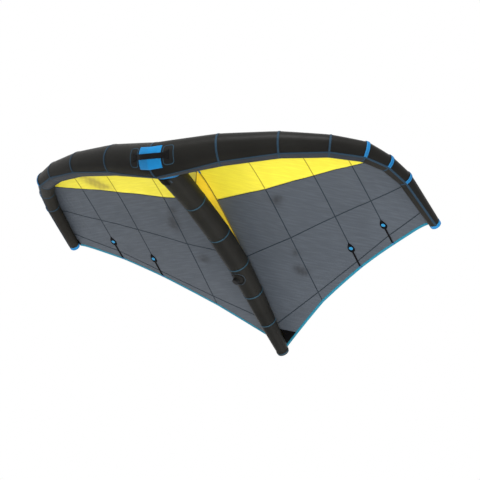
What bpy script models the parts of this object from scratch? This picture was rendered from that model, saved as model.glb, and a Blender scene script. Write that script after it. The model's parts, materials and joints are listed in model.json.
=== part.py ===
"""Inflatable hand-held wing for wingfoiling: an inflated leading edge and centre strut
that carry a cambered canopy, with a front handle, an inflation valve and trailing edge battens.

Metres, +Z up as the wing is flown, nose towards -Y, span along X.
"""

import bpy
import bmesh
from math import atan2, cos, pi, radians, sin
from mathutils import Matrix, Vector

# Overall sizes
HALF_SPAN_LENGTH = 1.330           # centre of the wing to the middle of a tip
TIP_SETBACK = 1.007         # how far a tip lies behind the nose
DIHEDRAL_HEIGHT = 0.264     # how far a tip rises above the nose
NOSE_DIAMETER = 0.214
STRUT_LENGTH = 1.860        # nose to the strut's tail
STRUT_CAMBER_HEIGHT = 0.095 # height of the strut's arch over the nose
STRUT_DIAMETER = 0.142
CANOPY_CAMBER_HEIGHT = 0.177  # height of the canopy's crown at the centre
COLOUR_SPLIT_LENGTH = 0.632 # front panels end this far behind the nose, on the centreline
TRAILING_SCALLOP = 0.004    # how far the trailing edge is hollowed between its stations

# Walls and clearances
CASING_WALL = 0.0012
BLADDER_WALL = 0.0008
CLOTH = 0.0010
PATCH_CLOTH = 0.0012
SEAT_GAP = 0.0003
OVERRUN = 0.020             # how far a cutter passes what it cuts

# Leading edge stations, from the nose to a tip, as shares of the sizes above
LE_SPAN_SHARES = (0, 0.277, 0.532, 0.730, 0.857, 0.920, 0.960, 1)
LE_SETBACK_SHARES = (0, 0.053, 0.123, 0.221, 0.323, 0.452, 0.600, 1)
LE_RISE_SHARES = (0, 0.356, 0.610, 0.807, 0.928, 1.011, 1.049, 1)
LE_DIAMETER_SHARES = (1, 0.888, 0.729, 0.617, 0.561, 0.458, 0.411, 0.308)
LE_SIDES = 24

# Strut stations, from inside the nose to the tail
STRUT_STATION_SHARES = (0.022, 0.236, 0.413, 0.570, 0.708, 0.848, 1)
STRUT_RISE_SHARES = (0.24, 0.75, 0.98, 0.94, 0.62, 0.20, -0.22)
STRUT_DIAMETER_SHARES = (1.14, 1.035, 1.055, 1.02, 0.92, 0.76, 0.545)
STRUT_SIDES = 24

# Canopy: where each leading edge station's line reaches the trailing edge
TE_SPAN_SHARES = (0, 0.298, 0.555, 0.754, 0.842, 0.895, 0.936, 0.968)
TE_SETBACK_SHARES = (1.025, 0.612, 0.342, 0.172, 0.095, 0.048, 0.015, -0.009)   # from tip to tail
TE_RISE_SHARES = (0.125, 0.485, 0.777, 0.973, 1.0, 1.015, 1.027, 1.027)
CAMBER_SHARES = (1, 0.54, 0.36, 0.175, 0.085, 0.045, 0.02, 0)
ATTACH_ANGLES = (-30, -22, -18, -10, 0, 12, 25, 40)   # degrees aft of the tube's top
CROWN_SHARES = ((0.20, 1.565), (0.36, 1.088))         # inner points of the camber's Bezier curve
SPLIT_STATION = 5           # the front panels run out at this leading edge station
SPLIT_END = 4.9
CANOPY_END = 6.92           # the canopy stops short of the tip cap
SPAN_STEPS = 4
CHORD_STEPS_FRONT = 5
CHORD_STEPS_REAR = 8

# Tip caps, tail cap, bands and collar
CAP_SKIRT = 0.024
CAP_WALL = 0.0012
CAP_PLATE = 0.0020
BAND_WIDTH = 0.027
BAND_STATIONS = (4, 5, 6)
BAND_ANGLES = (198, 340)
COLLAR_WIDTH = 0.018
COLLAR_WALL = 0.0015

# Web between the strut and the canopy
WEB_CLOTH = 0.0010
WEB_GAP = 0.0006            # between the web's upper edge and the canopy
WEB_TOP_SETBACK_LENGTH = 0.345   # the web's front edge leans forward from the strut up to the canopy
WEB_FOOT_SETBACK_LENGTH = 0.400
WEB_INSET = 0.006           # how far the web's rear end stays from the tail cap
WEB_ROWS = 3

# Trailing edge
HEM_RADIUS = 0.0025
HEM_SIDES = 6
BATTEN_STATIONS = (2, 3)
BATTEN_LENGTH = 0.170
BATTEN_INSET = 0.007        # the pocket's mouth lies this far ahead of the trailing edge
BATTEN_WIDTH = 0.0075
BATTEN_THICKNESS = 0.0020
POCKET_WALL = 0.0009
POCKET_GAP = 0.0005         # between the pocket and the cloth over it
POCKET_NOSE = 0.018         # closed front end of the pocket, ahead of the batten
POCKET_PATCH_WIDTH = 0.034
POCKET_END_WIDTH = 0.004
POCKET_PATCH_SHARE = 0.15   # how far along the pocket its patch is widest
TAIL_PATCH_STATIONS = (0.03, 0.29)
TAIL_PATCH_FRONT = 0.952
TIP_PATCH_STATIONS = (6.45, 6.88)
TIP_PATCH_FRONT = 0.80
PATCH_REAR = 0.996
PATCH_GAP = 0.0009          # between a corner's patch and the cloth over it

# Front handle
HANDLE_ANGLE = 236          # degrees round the tube from its top: low on the front
PAD_HALF_LENGTH = 0.080
PAD_ANGLES = (197, 276)
PAD_THICKNESS = 0.0030
ANCHOR_FROM = 0.0835
ANCHOR_TO = 0.156
ANCHOR_ANGLES = (203, 270)
ANCHOR_THICKNESS = 0.0020
STRAP_WIDTH = 0.033
STRAP_THICKNESS = 0.0035
STRAP_HALF_LENGTH = 0.122
STRAP_STANDOFF = 0.036      # middle of the strap over the tube
STRAP_SEWN = 0.030          # length sewn down at each end
STRAP_BOW_POWER = 3
STRAP_STEPS = 26

# Inflation valve, under the strut
VALVE_STATION = 3.325
VALVE_ANGLE = 163
VALVE_PATCH_RADIUS = 0.050
VALVE_PATCH_ROWS = 3
VALVE_FLANGE_RADIUS = 0.0245
VALVE_FLANGE = 0.0030
VALVE_SEAT = 0.0016         # flange's underside over the casing
VALVE_NECK_RADIUS = 0.0150
VALVE_NECK_DEPTH = 0.0160
VALVE_COLLAR_RADIUS = 0.0175
VALVE_COLLAR_HEIGHT = 0.0130
VALVE_BORE_RADIUS = 0.0105
VALVE_RIM = 0.0020          # rim that the plunger's disc seals against from inside
VALVE_RIM_DEPTH = 0.0040
VALVE_RIM_RADIUS = 0.0060
PLUNGER_RADIUS = 0.0085
PLUNGER_THICKNESS = 0.0025
PLUNGER_STEM_RADIUS = 0.0030
PLUNGER_STEM = 0.0100
CAP_RADIUS = 0.0225
CAP_SHELL = 0.0018
CAP_LIP = 0.0100
CAP_RISE = 0.0040
EAR_RADIUS = 0.0026
EAR_HALF_WIDTH = 0.0030
LUG_WIDTH = 0.0022
LUG_REACH = 0.0022          # how far the lugs pass the hinge's axis
PIN_RADIUS = 0.0010
PIN_SIDES = 12
VALVE_SIDES = 24

# Hose that joins the two bladders
HOSE_RADIUS = 0.0090
HOSE_WALL = 0.0022
HOSE_LENGTH = 0.062
HOSE_INSIDE = 0.018         # length that lies inside the leading edge bladder
CLAMP_WIDTH = 0.0060
CLAMP_WALL = 0.0030
HOSE_CHAMBER = 0.030        # space behind the nose for the clamps
BLADDER_END = 0.020
HOSE_SIDES = 16

UP = Vector((0, 0, 1))

PALETTE = {
    "tube_cloth": ((0.020, 0.020, 0.018), 0.55, 0.0),
    "bladder_film": ((0.55, 0.60, 0.62), 0.25, 0.0),
    "canopy_grey": ((0.095, 0.112, 0.135), 0.50, 0.0),
    "canopy_yellow": ((0.93, 0.82, 0.06), 0.50, 0.0),
    "web_yellow": ((0.80, 0.58, 0.04), 0.50, 0.0),
    "bright_blue": ((0.025, 0.29, 0.68), 0.50, 0.0),
    "hem_teal": ((0.013, 0.24, 0.37), 0.50, 0.0),
    "black_webbing": ((0.010, 0.010, 0.011), 0.70, 0.0),
    "black_plastic": ((0.012, 0.012, 0.013), 0.40, 0.0),
    "glass_fibre": ((0.030, 0.031, 0.033), 0.30, 0.0),
    "hose_rubber": ((0.62, 0.64, 0.62), 0.40, 0.0),
}


def clear_scene():
    """Start from an empty scene."""
    for old in list(bpy.data.objects):
        bpy.data.objects.remove(old, do_unlink=True)


def make_material(name):
    """Principled material of one of the palette's colours."""
    colour, roughness, metallic = PALETTE[name]
    material = bpy.data.materials.get(name) or bpy.data.materials.new(name)
    material.use_nodes = True
    shader = material.node_tree.nodes["Principled BSDF"]
    shader.inputs["Base Color"].default_value = (*colour, 1.0)
    shader.inputs["Roughness"].default_value = roughness
    shader.inputs["Metallic"].default_value = metallic
    return material


def add_object(name, mesh_data, material):
    """Link a bmesh to the scene as one named object, smooth but for its sharp edges."""
    bmesh.ops.recalc_face_normals(mesh_data, faces=mesh_data.faces)
    mesh = bpy.data.meshes.new(name)
    mesh_data.to_mesh(mesh)
    mesh_data.free()
    mesh.shade_smooth()
    mesh.set_sharp_from_angle(angle=radians(40))
    piece = bpy.data.objects.new(name, mesh)
    bpy.context.collection.objects.link(piece)
    if material:
        mesh.materials.append(make_material(material))
    return piece


def add_patch(shape, corners):
    """Two triangles across four corners, split along the shorter diagonal."""
    a, b, c, d = corners
    if (a.co - c.co).length <= (b.co - d.co).length:
        shape.faces.new((a, b, c))
        shape.faces.new((a, c, d))
    else:
        shape.faces.new((a, b, d))
        shape.faces.new((b, c, d))


def loft(name, rings, material, cyclic=False):
    """Skin over rings of as many points each; cyclic joins the last ring to the first."""
    shape = bmesh.new()
    rows = [[shape.verts.new(point) for point in ring] for ring in rings]
    pairs = list(zip(rows, rows[1:]))
    if cyclic:
        pairs.append((rows[-1], rows[0]))
    count = len(rows[0])
    for low, high in pairs:
        for i in range(count):
            j = (i + 1) % count
            add_patch(shape, (low[i], low[j], high[j], high[i]))
    if not cyclic:
        shape.faces.new(list(reversed(rows[0])))
        shape.faces.new(rows[-1])
    return add_object(name, shape, material)


def sheet(name, grid, thickness, material, wrap=False):
    """Cloth of a given thickness over a grid of points that lie in its middle."""
    shape = bmesh.new()
    rows = [[shape.verts.new(point) for point in row] for row in grid]
    columns = len(rows[0])
    for low, high in zip(rows, rows[1:]):
        for i in range(columns if wrap else columns - 1):
            j = (i + 1) % columns
            add_patch(shape, (low[i], low[j], high[j], high[i]))
    piece = add_object(name, shape, material)
    solid = piece.modifiers.new("Thickness", "SOLIDIFY")
    solid.thickness = thickness
    solid.offset = 0
    solid.use_even_offset = True
    return piece


def revolve(name, profile, place, material, sides):
    """Turn a closed (radius, height) profile round the Z axis of a placement matrix."""
    shape = bmesh.new()
    rows = []
    for i in range(sides):
        turn = 2 * pi * i / sides
        rows.append([shape.verts.new((r * cos(turn), r * sin(turn), h)) for r, h in profile])
    for i in range(sides):
        low, high = rows[i], rows[(i + 1) % sides]
        for a in range(len(profile)):
            b = (a + 1) % len(profile)
            shape.faces.new((low[a], low[b], high[b], high[a]))
    bmesh.ops.remove_doubles(shape, verts=shape.verts, dist=PLUNGER_RADIUS / 1000)
    bmesh.ops.transform(shape, matrix=place, verts=shape.verts)
    return add_object(name, shape, material)


def hidden_cutter(piece):
    """Keep a cutter out of the finished part."""
    piece.hide_render = True
    piece.display_type = "WIRE"
    return piece


def boolean(piece, cutter, operation):
    """Exact Boolean of a piece with a hidden cutter."""
    step = piece.modifiers.new(operation.title(), "BOOLEAN")
    step.operation = operation
    step.solver = "EXACT"
    step.object = hidden_cutter(cutter)


def set_origin(piece, point):
    """Move a piece's origin, for instance onto its joint's axis."""
    piece.data.transform(Matrix.Translation(-point))
    piece.location = point


def between(values, station):
    """Read a list at a station that may lie between two entries."""
    low = min(int(station), len(values) - 2)
    part = station - low
    return values[low] * (1 - part) + values[low + 1] * part


class Tube:
    """Inflated tube: straight tapered lengths, mitred where they meet."""

    def __init__(self, centres, radii, first=0):
        self.centres = centres
        self.radii = radii
        self.first = first
        self.frames = [self.frame_at(k) for k in range(len(centres))]

    def frame_at(self, k):
        """Axis, up and aft directions of the seam at one station."""
        before = self.centres[max(k, 1)] - self.centres[max(k, 1) - 1]
        last = min(k, len(self.centres) - 2)
        after = self.centres[last + 1] - self.centres[last]
        axis = (before.normalized() + after.normalized()).normalized()
        up = (UP - axis * UP.dot(axis)).normalized()
        return axis, up, up.cross(axis)

    def seam_point(self, k, angle, lift):
        """Point on the seam of station k, angle degrees aft of the top, lifted off the cloth."""
        axis, up, aft = self.frames[k]
        turn = radians(angle)
        return self.centres[k] + (up * cos(turn) + aft * sin(turn)) * (self.radii[k] + lift)

    def point(self, station, angle, lift=0):
        """Point on the straight length between two seams."""
        k = min(int(station - self.first), len(self.centres) - 2)
        part = station - self.first - k
        return self.seam_point(k, angle, lift).lerp(self.seam_point(k + 1, angle, lift), part)

    def centre(self, station):
        """Point on the tube's centreline."""
        k = min(int(station - self.first), len(self.centres) - 2)
        return self.centres[k].lerp(self.centres[k + 1], station - self.first - k)

    def radius(self, station):
        """Radius between two seams."""
        return between(self.radii, station - self.first)

    def ring(self, station, lift, sides):
        """Closed ring of points round the tube."""
        return [self.point(station, 360 * i / sides, lift) for i in range(sides)]

    def stations(self, start, end):
        """The two given stations and every seam between them."""
        seams = range(self.first, self.first + len(self.centres))
        return [start] + [k for k in seams if start < k < end] + [end]

    def length_to_stations(self, station, length, side):
        """How many stations a length along the tube takes, on one side of a station."""
        k = station - self.first + (0 if side > 0 else -1)
        return length / (self.centres[k + 1] - self.centres[k]).length


def leading_edge():
    """Tube from the left tip to the right tip; station 0 is the nose."""
    half = []
    for span, setback, rise in zip(LE_SPAN_SHARES, LE_SETBACK_SHARES, LE_RISE_SHARES):
        half.append(Vector((span * HALF_SPAN_LENGTH, setback * TIP_SETBACK, rise * DIHEDRAL_HEIGHT)))
    radii = [share * NOSE_DIAMETER / 2 for share in LE_DIAMETER_SHARES]
    left = [Vector((-point.x, point.y, point.z)) for point in reversed(half[1:])]
    return Tube(left + half, radii[:0:-1] + radii, first=1 - len(half))


def centre_strut():
    """Arched tube from inside the nose to the tail."""
    centres = []
    for station, rise in zip(STRUT_STATION_SHARES, STRUT_RISE_SHARES):
        centres.append(Vector((0, station * STRUT_LENGTH, rise * STRUT_CAMBER_HEIGHT)))
    return Tube(centres, [share * STRUT_DIAMETER / 2 for share in STRUT_DIAMETER_SHARES])


EDGE = leading_edge()
STRUT = centre_strut()
TIP = len(LE_SPAN_SHARES) - 1
TAIL = len(STRUT_STATION_SHARES) - 1


def wrap_angles(limits):
    """Angles at which cloth that wraps the leading edge bends with the tube's sides."""
    low, high = limits
    corners = [360 * i / LE_SIDES for i in range(LE_SIDES)]
    return [low] + [angle for angle in corners if low < angle < high] + [high]


def crown(along):
    """Camber curve: share of the chord and share of the camber height."""
    first, second = CROWN_SHARES
    back = 1 - along
    early = 3 * back * back * along
    late = 3 * back * along * along
    return early * first[0] + late * second[0] + along ** 3, early * first[1] + late * second[1]


def trailing_point(station):
    """Point on the right half's trailing edge, hollowed between the first stations."""
    point = Vector((
        between(TE_SPAN_SHARES, station) * HALF_SPAN_LENGTH,
        TIP_SETBACK + between(TE_SETBACK_SHARES, station) * (STRUT_LENGTH - TIP_SETBACK),
        between(TE_RISE_SHARES, station) * DIHEDRAL_HEIGHT,
    ))
    scalloped = station < BATTEN_STATIONS[-1]
    part = station % 1 if scalloped else (station - BATTEN_STATIONS[-1]) / (TIP - BATTEN_STATIONS[-1])
    point.y -= TRAILING_SCALLOP * 4 * part * (1 - part)
    return point


def canopy_point(station, along, side=1):
    """Middle of the canopy cloth, from the leading edge (along 0) to the trailing edge (1)."""
    front = EDGE.point(station, between(ATTACH_ANGLES, station), SEAT_GAP + CLOTH / 2)
    chord, height = crown(along)
    point = front.lerp(trailing_point(station), chord)
    point.z += between(CAMBER_SHARES, station) * CANOPY_CAMBER_HEIGHT * height
    point.x = max(point.x, SEAT_GAP / 2)
    return Vector((side * point.x, point.y, point.z))


def canopy_down(station, along, side=1):
    """Unit direction square to the canopy's underside."""
    step = 0.01
    chordwise = canopy_point(station, min(along + step, 1)) - canopy_point(station, max(along - step, 0))
    spanwise = canopy_point(min(station + step, TIP), along) - canopy_point(max(station - step, 0), along)
    down = chordwise.cross(spanwise).normalized()
    if down.z > 0:
        down = -down
    return Vector((side * down.x, down.y, down.z))


def under_canopy(station, along, drop, side=1):
    """Point a given distance under the canopy's middle."""
    return canopy_point(station, along, side) + canopy_down(station, along, side) * drop


def station_step(station, distance):
    """Change of station that moves a point a distance along the trailing edge, out or in."""
    k = int(station) if distance >= 0 else int(station) - 1
    return distance / ((TE_SPAN_SHARES[k + 1] - TE_SPAN_SHARES[k]) * HALF_SPAN_LENGTH)


def along_at(test):
    """Share along the chord at which a rising function of it crosses zero."""
    low, high = 0.0, 1.0
    for _ in range(40):
        middle = (low + high) / 2
        if test(middle) < 0:
            low = middle
        else:
            high = middle
    return (low + high) / 2


def split_along(station, shift):
    """Where the front panel ends: a straight line in plan from the centre to the leading edge."""
    end = canopy_point(SPLIT_STATION, 0)

    def behind(along):
        point = canopy_point(station, along)
        return point.y - COLOUR_SPLIT_LENGTH - (end.y - COLOUR_SPLIT_LENGTH) * point.x / end.x - shift

    return along_at(behind)


def panel_steps(start, end, count):
    """Even steps along the chord of one panel."""
    return [start + (end - start) * i / count for i in range(count + 1)]


def span_stations(end):
    """Even steps between leading edge stations, up to an end station."""
    steps = [i / SPAN_STEPS for i in range(int(end * SPAN_STEPS) + 1)]
    return steps if steps[-1] >= end else steps + [end]


def build_tubes():
    """Casings, bladders and what closes them."""
    for k in range(-TIP, TIP):
        label = f"right_{k + 1}" if k >= 0 else f"left_{-k}"
        joint = EDGE.length_to_stations(k, SEAT_GAP / 2, 1)
        near, far = k + joint, k + 1 - joint
        outer = [EDGE.ring(s, 0, LE_SIDES) for s in (near, far)]
        inner = [EDGE.ring(s, -CASING_WALL, LE_SIDES) for s in (far, near)]
        length = loft("leading_edge_" + label, outer + inner, "tube_cloth", cyclic=True)
        if k in (-1, 0):
            boolean(length, hose_cutter("port_" + label, SEAT_GAP + CLAMP_WALL), "DIFFERENCE")

    end = TIP - EDGE.length_to_stations(TIP, BLADDER_END, -1)
    bladder = bladder_of("leading_edge_bladder", EDGE, -end, end, LE_SIDES)
    boolean(bladder, hose_cutter("bladder_port", SEAT_GAP), "DIFFERENCE")

    stations = STRUT.stations(0, TAIL)
    outer = [STRUT.ring(s, 0, STRUT_SIDES) for s in stations]
    inner = [STRUT.ring(s, -CASING_WALL, STRUT_SIDES) for s in reversed(stations)]
    sleeve = loft("strut_casing", outer + inner, "tube_cloth", cyclic=True)
    boolean(sleeve, nose_cutter("strut_mouth", SEAT_GAP), "DIFFERENCE")
    boolean(sleeve, valve_cutter("casing_valve_hole"), "DIFFERENCE")

    start = strut_station(NOSE_DIAMETER / 2 + HOSE_CHAMBER)
    end = TAIL - STRUT.length_to_stations(TAIL, BLADDER_END, -1)
    bladder = bladder_of("strut_bladder", STRUT, start, end, STRUT_SIDES)
    boolean(bladder, hose_cutter("strut_bladder_port", SEAT_GAP), "DIFFERENCE")
    boolean(bladder, valve_cutter("bladder_valve_hole"), "DIFFERENCE")


def bladder_of(name, tube, start, end, sides):
    """Closed film bladder inside a tube's casing, open only at its ports."""
    skin = -CASING_WALL - SEAT_GAP
    stations = tube.stations(start, end)
    bladder = loft(name, [tube.ring(s, skin, sides) for s in stations], "bladder_film")
    inset = BLADDER_WALL * 2
    low = start + tube.length_to_stations(int(start) if start > 0 else -TIP, inset, 1)
    high = end - tube.length_to_stations(int(end) + 1, inset, -1)
    stations = tube.stations(low, high)
    hollow = loft(name + "_hollow", [tube.ring(s, skin - BLADDER_WALL, sides) for s in stations], None)
    boolean(bladder, hollow, "DIFFERENCE")
    return bladder


def strut_station(setback):
    """Strut station that lies a given distance behind the nose."""
    reach = [centre.y for centre in STRUT.centres]
    k = max(i for i in range(len(reach) - 1) if reach[i] <= setback)
    return k + (setback - reach[k]) / (reach[k + 1] - reach[k])


def nose_cutter(name, lift):
    """Solid middle stretch of the leading edge, used to cut what meets it."""
    return loft(name, [EDGE.ring(s, lift, LE_SIDES) for s in (-1, 0, 1)], None)


def hose_height():
    """The hose runs level through the strut's axis where it meets the nose."""
    return STRUT.centre(strut_station(NOSE_DIAMETER / 2)).z


def hose_start():
    """Rear of the nose on the hose's line."""
    return (NOSE_DIAMETER ** 2 / 4 - hose_height() ** 2) ** 0.5


def hose_place(setback):
    """Placement with its Z axis along the hose."""
    turn = Matrix.Rotation(-pi / 2, 4, "X")
    return Matrix.Translation((0, setback, hose_height())) @ turn


def hose_cutter(name, clearance):
    """Round cutter along the hose's line."""
    r = HOSE_RADIUS + clearance
    profile = [(0, 0), (r, 0), (r, HOSE_LENGTH + 2 * OVERRUN), (0, HOSE_LENGTH + 2 * OVERRUN)]
    return revolve(name, profile, hose_place(hose_start() - HOSE_INSIDE - OVERRUN), None, HOSE_SIDES)


def build_hose():
    """Hose between the bladders, with a clamp on each side of the strut's mouth."""
    start = hose_start() - HOSE_INSIDE
    bore = HOSE_RADIUS - HOSE_WALL
    profile = [(bore, 0), (HOSE_RADIUS, 0), (HOSE_RADIUS, HOSE_LENGTH), (bore, HOSE_LENGTH)]
    revolve("one_pump_hose", profile, hose_place(start), "hose_rubber", HOSE_SIDES)
    inner = HOSE_RADIUS + SEAT_GAP
    ring = [(inner, 0), (inner + CLAMP_WALL, 0), (inner + CLAMP_WALL, CLAMP_WIDTH), (inner, CLAMP_WIDTH)]
    seats = (hose_start() + CLAMP_WIDTH, NOSE_DIAMETER / 2 + HOSE_CHAMBER - 2 * CLAMP_WIDTH)
    for label, setback in zip(("front", "rear"), seats):
        revolve("hose_clamp_" + label, ring, hose_place(setback), "black_plastic", HOSE_SIDES)


def end_cap(name, tube, station, side, material):
    """Cup that closes the end of a tube: a skirt outside the cloth and a flat plate."""
    k = station - tube.first
    axis = tube.frames[k][0] * side
    inner_lift = SEAT_GAP
    outer_lift = SEAT_GAP + CAP_WALL
    sides = LE_SIDES
    back = station - side * tube.length_to_stations(station, CAP_SKIRT, -side)
    end_inside = [p + axis * SEAT_GAP for p in tube.ring(station, inner_lift, sides)]
    end_outside = [p + axis * (SEAT_GAP + CAP_PLATE) for p in tube.ring(station, outer_lift, sides)]
    rings = [end_outside, tube.ring(back, outer_lift, sides), tube.ring(back, inner_lift, sides), end_inside]
    return loft(name, rings, material)


def build_trim():
    """Caps at the three tube ends, bands at the tip joints and the collar round the strut."""
    end_cap("tip_cap_left", EDGE, -TIP, -1, "bright_blue")
    end_cap("tip_cap_right", EDGE, TIP, 1, "bright_blue")
    end_cap("strut_tail_cap", STRUT, TAIL, 1, "tube_cloth")

    angles = wrap_angles(BAND_ANGLES)
    for side, label in ((-1, "left"), (1, "right")):
        for k in BAND_STATIONS:
            seam = side * k
            before = EDGE.length_to_stations(seam, BAND_WIDTH / 2, -1)
            after = EDGE.length_to_stations(seam, BAND_WIDTH / 2, 1)
            lift = SEAT_GAP + PATCH_CLOTH / 2
            grid = [[EDGE.point(s, a, lift) for a in angles] for s in (seam - before, seam, seam + after)]
            sheet(f"joint_band_{k}_{label}", grid, PATCH_CLOTH, "bright_blue")

    stations = (0, 1)
    outer = [STRUT.ring(s, SEAT_GAP + COLLAR_WALL, STRUT_SIDES) for s in stations]
    inner = [STRUT.ring(s, SEAT_GAP, STRUT_SIDES) for s in reversed(stations)]
    collar = loft("strut_collar", outer + inner, "bright_blue", cyclic=True)
    boolean(collar, nose_cutter("collar_reach", COLLAR_WIDTH), "INTERSECT")
    boolean(collar, nose_cutter("collar_mouth", SEAT_GAP), "DIFFERENCE")


def build_canopy():
    """Front and rear panels of each half, the centre web, and the trailing edge's trim."""
    for side, label in ((-1, "left"), (1, "right")):
        grid = []
        for s in span_stations(SPLIT_END):
            end = split_along(s, -SEAT_GAP / 2)
            grid.append([canopy_point(s, a, side) for a in panel_steps(0, end, CHORD_STEPS_FRONT)])
        sheet("canopy_front_" + label, grid, CLOTH, "canopy_yellow")

        grid = []
        for s in span_stations(CANOPY_END):
            start = split_along(s, SEAT_GAP / 2) if s < SPLIT_STATION else 0
            grid.append([canopy_point(s, a, side) for a in panel_steps(start, 1, CHORD_STEPS_REAR)])
        sheet("canopy_rear_" + label, grid, CLOTH, "canopy_grey")

        build_hem(label, side)
        build_patches(label, side)
        for number, station in enumerate(BATTEN_STATIONS, 1):
            build_batten(f"{number}_{label}", station, side)
    build_web()


def build_hem(label, side):
    """Rolled hem that lies against the canopy's rear edge."""
    stations = span_stations(CANOPY_END)
    edge = [canopy_point(s, 1, side) for s in stations]
    rings = []
    for i, (s, point) in enumerate(zip(stations, edge)):
        before = (point - edge[max(i - 1, 0)]).normalized() if i else (edge[1] - point).normalized()
        after = (edge[i + 1] - point).normalized() if i + 1 < len(edge) else before
        run = (before + after).normalized()
        rear = point - canopy_point(s, 0.98, side)
        rear = (rear - run * rear.dot(run)).normalized()
        upward = run.cross(rear)
        reach = (HEM_RADIUS + SEAT_GAP) / run.dot(after)
        middle = point + rear * reach
        middle.x = side * max(side * middle.x, HEM_RADIUS + SEAT_GAP)
        turns = [2 * pi * n / HEM_SIDES for n in range(HEM_SIDES)]
        rings.append([middle + (rear * cos(t) + upward * sin(t)) * HEM_RADIUS for t in turns])
    loft("trailing_hem_" + label, rings, "hem_teal")


def build_patches(label, side):
    """Reinforcements under the canopy's corners, at the tail and at the tip."""
    drop = CLOTH / 2 + PATCH_GAP + PATCH_CLOTH / 2
    near, far = TAIL_PATCH_STATIONS
    rows = []
    for i in range(5):
        part = i / 4
        front = TAIL_PATCH_FRONT + (PATCH_REAR - TAIL_PATCH_FRONT) * part * 0.94
        s = near + (far - near) * part
        rows.append([under_canopy(s, front + (PATCH_REAR - front) * j / 3, drop, side) for j in range(4)])
    sheet("tail_patch_" + label, rows, PATCH_CLOTH, "black_webbing")

    near, far = TIP_PATCH_STATIONS
    rows = []
    for i in range(4):
        part = i / 3
        front = PATCH_REAR - (PATCH_REAR - TIP_PATCH_FRONT) * (0.1 + 0.9 * part)
        s = near + (far - near) * part
        rows.append([under_canopy(s, front + (PATCH_REAR - front) * j / 2, drop, side) for j in range(3)])
    sheet("tip_patch_" + label, rows, PATCH_CLOTH, "black_webbing")


def build_batten(label, station, side):
    """Batten in a sewn pocket under the canopy, open at the trailing edge."""
    edge = canopy_point(station, 1)

    def along(distance):
        setback = distance + BATTEN_INSET
        return along_at(lambda a: setback - (edge - canopy_point(station, a)).length)

    depth = BATTEN_THICKNESS + 2 * (SEAT_GAP + POCKET_WALL)
    drop = CLOTH / 2 + POCKET_GAP + depth / 2

    def skin(distance, width, height):
        """Section of the pocket, its top following the cloth to either side of the seam."""
        a = along(distance)
        spots = [(station + station_step(station, i * width / 2), i) for i in (-1, 0, 1)]
        top = [under_canopy(s, a, drop - height / 2, side) for s, i in spots]
        low = [under_canopy(s, a, drop + height / 2, side) for s, i in reversed(spots)]
        return top + low

    def section(distance, width, height):
        """Rectangular section square to the pocket."""
        a = along(distance)
        middle = under_canopy(station, a, drop, side)
        down = canopy_down(station, a, side)
        ahead = canopy_point(station, a - 0.02, side)
        across = (middle - down * drop - ahead).cross(down).normalized()
        corners = ((-1, -1), (0, -1), (1, -1), (1, 1), (0, 1), (-1, 1))
        turned = [(-i * side, j) for i, j in corners]
        return [middle + across * (i * width / 2) + down * (j * height / 2) for i, j in turned]

    total = BATTEN_LENGTH + POCKET_NOSE
    sleeve = BATTEN_WIDTH + 2 * (SEAT_GAP + POCKET_WALL)
    widest = total * (1 - POCKET_PATCH_SHARE)
    taper = total * (1 - 2.4 * POCKET_PATCH_SHARE)
    outline = (
        (total, POCKET_END_WIDTH), (widest, POCKET_PATCH_WIDTH), (taper, sleeve),
        (taper / 2, sleeve), (0, sleeve),
    )
    rings = [skin(distance, width, depth) for distance, width in outline]
    hollow_width = BATTEN_WIDTH + 2 * SEAT_GAP
    hollow_depth = BATTEN_THICKNESS + 2 * SEAT_GAP
    reach = (0, taper / 2, taper, BATTEN_LENGTH)
    rings += [section(distance, hollow_width, hollow_depth) for distance in reach]
    loft("batten_pocket_" + label, rings, "black_webbing")
    rod = (BATTEN_LENGTH - SEAT_GAP, taper, taper / 2, 0)
    shaft = [section(distance, BATTEN_WIDTH, BATTEN_THICKNESS) for distance in rod]
    loft("batten_" + label, shaft, "glass_fibre")


def height_at(points, setback):
    """Height of a chain of points at a setback between two of them."""
    k = max(i for i in range(len(points) - 1) if points[i].y <= setback)
    part = (setback - points[k].y) / (points[k + 1].y - points[k].y)
    return points[k].z + (points[k + 1].z - points[k].z) * part


def build_web():
    """Upright web that holds the canopy off the strut, from well behind the nose to the tail."""
    split = split_along(0, 0)
    rear = panel_steps(split, 1, CHORD_STEPS_REAR)
    roof = []
    for a in panel_steps(0, split, CHORD_STEPS_FRONT) + rear[1:]:
        steep = abs(canopy_down(0, a).z)
        roof.append(canopy_point(0, a) - UP * (CLOTH / 2 + WEB_GAP) / steep)
    start = WEB_FOOT_SETBACK_LENGTH
    end = STRUT_LENGTH - CAP_SKIRT - WEB_INSET
    ridge = [STRUT.seam_point(k, 0, SEAT_GAP * 2) for k in range(TAIL + 1)]
    setbacks = [point.y for point in roof + ridge]
    columns = [start] + sorted(y for y in setbacks if start < y < end) + [end]
    grid = []
    for setback in columns:
        crest = WEB_TOP_SETBACK_LENGTH if setback == start else setback
        top = Vector((0, crest, height_at(roof, crest)))
        foot = Vector((0, setback, height_at(ridge, setback)))
        grid.append([foot.lerp(top, j / WEB_ROWS) for j in range(WEB_ROWS + 1)])
    sheet("canopy_web", grid, WEB_CLOTH, "web_yellow")


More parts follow.
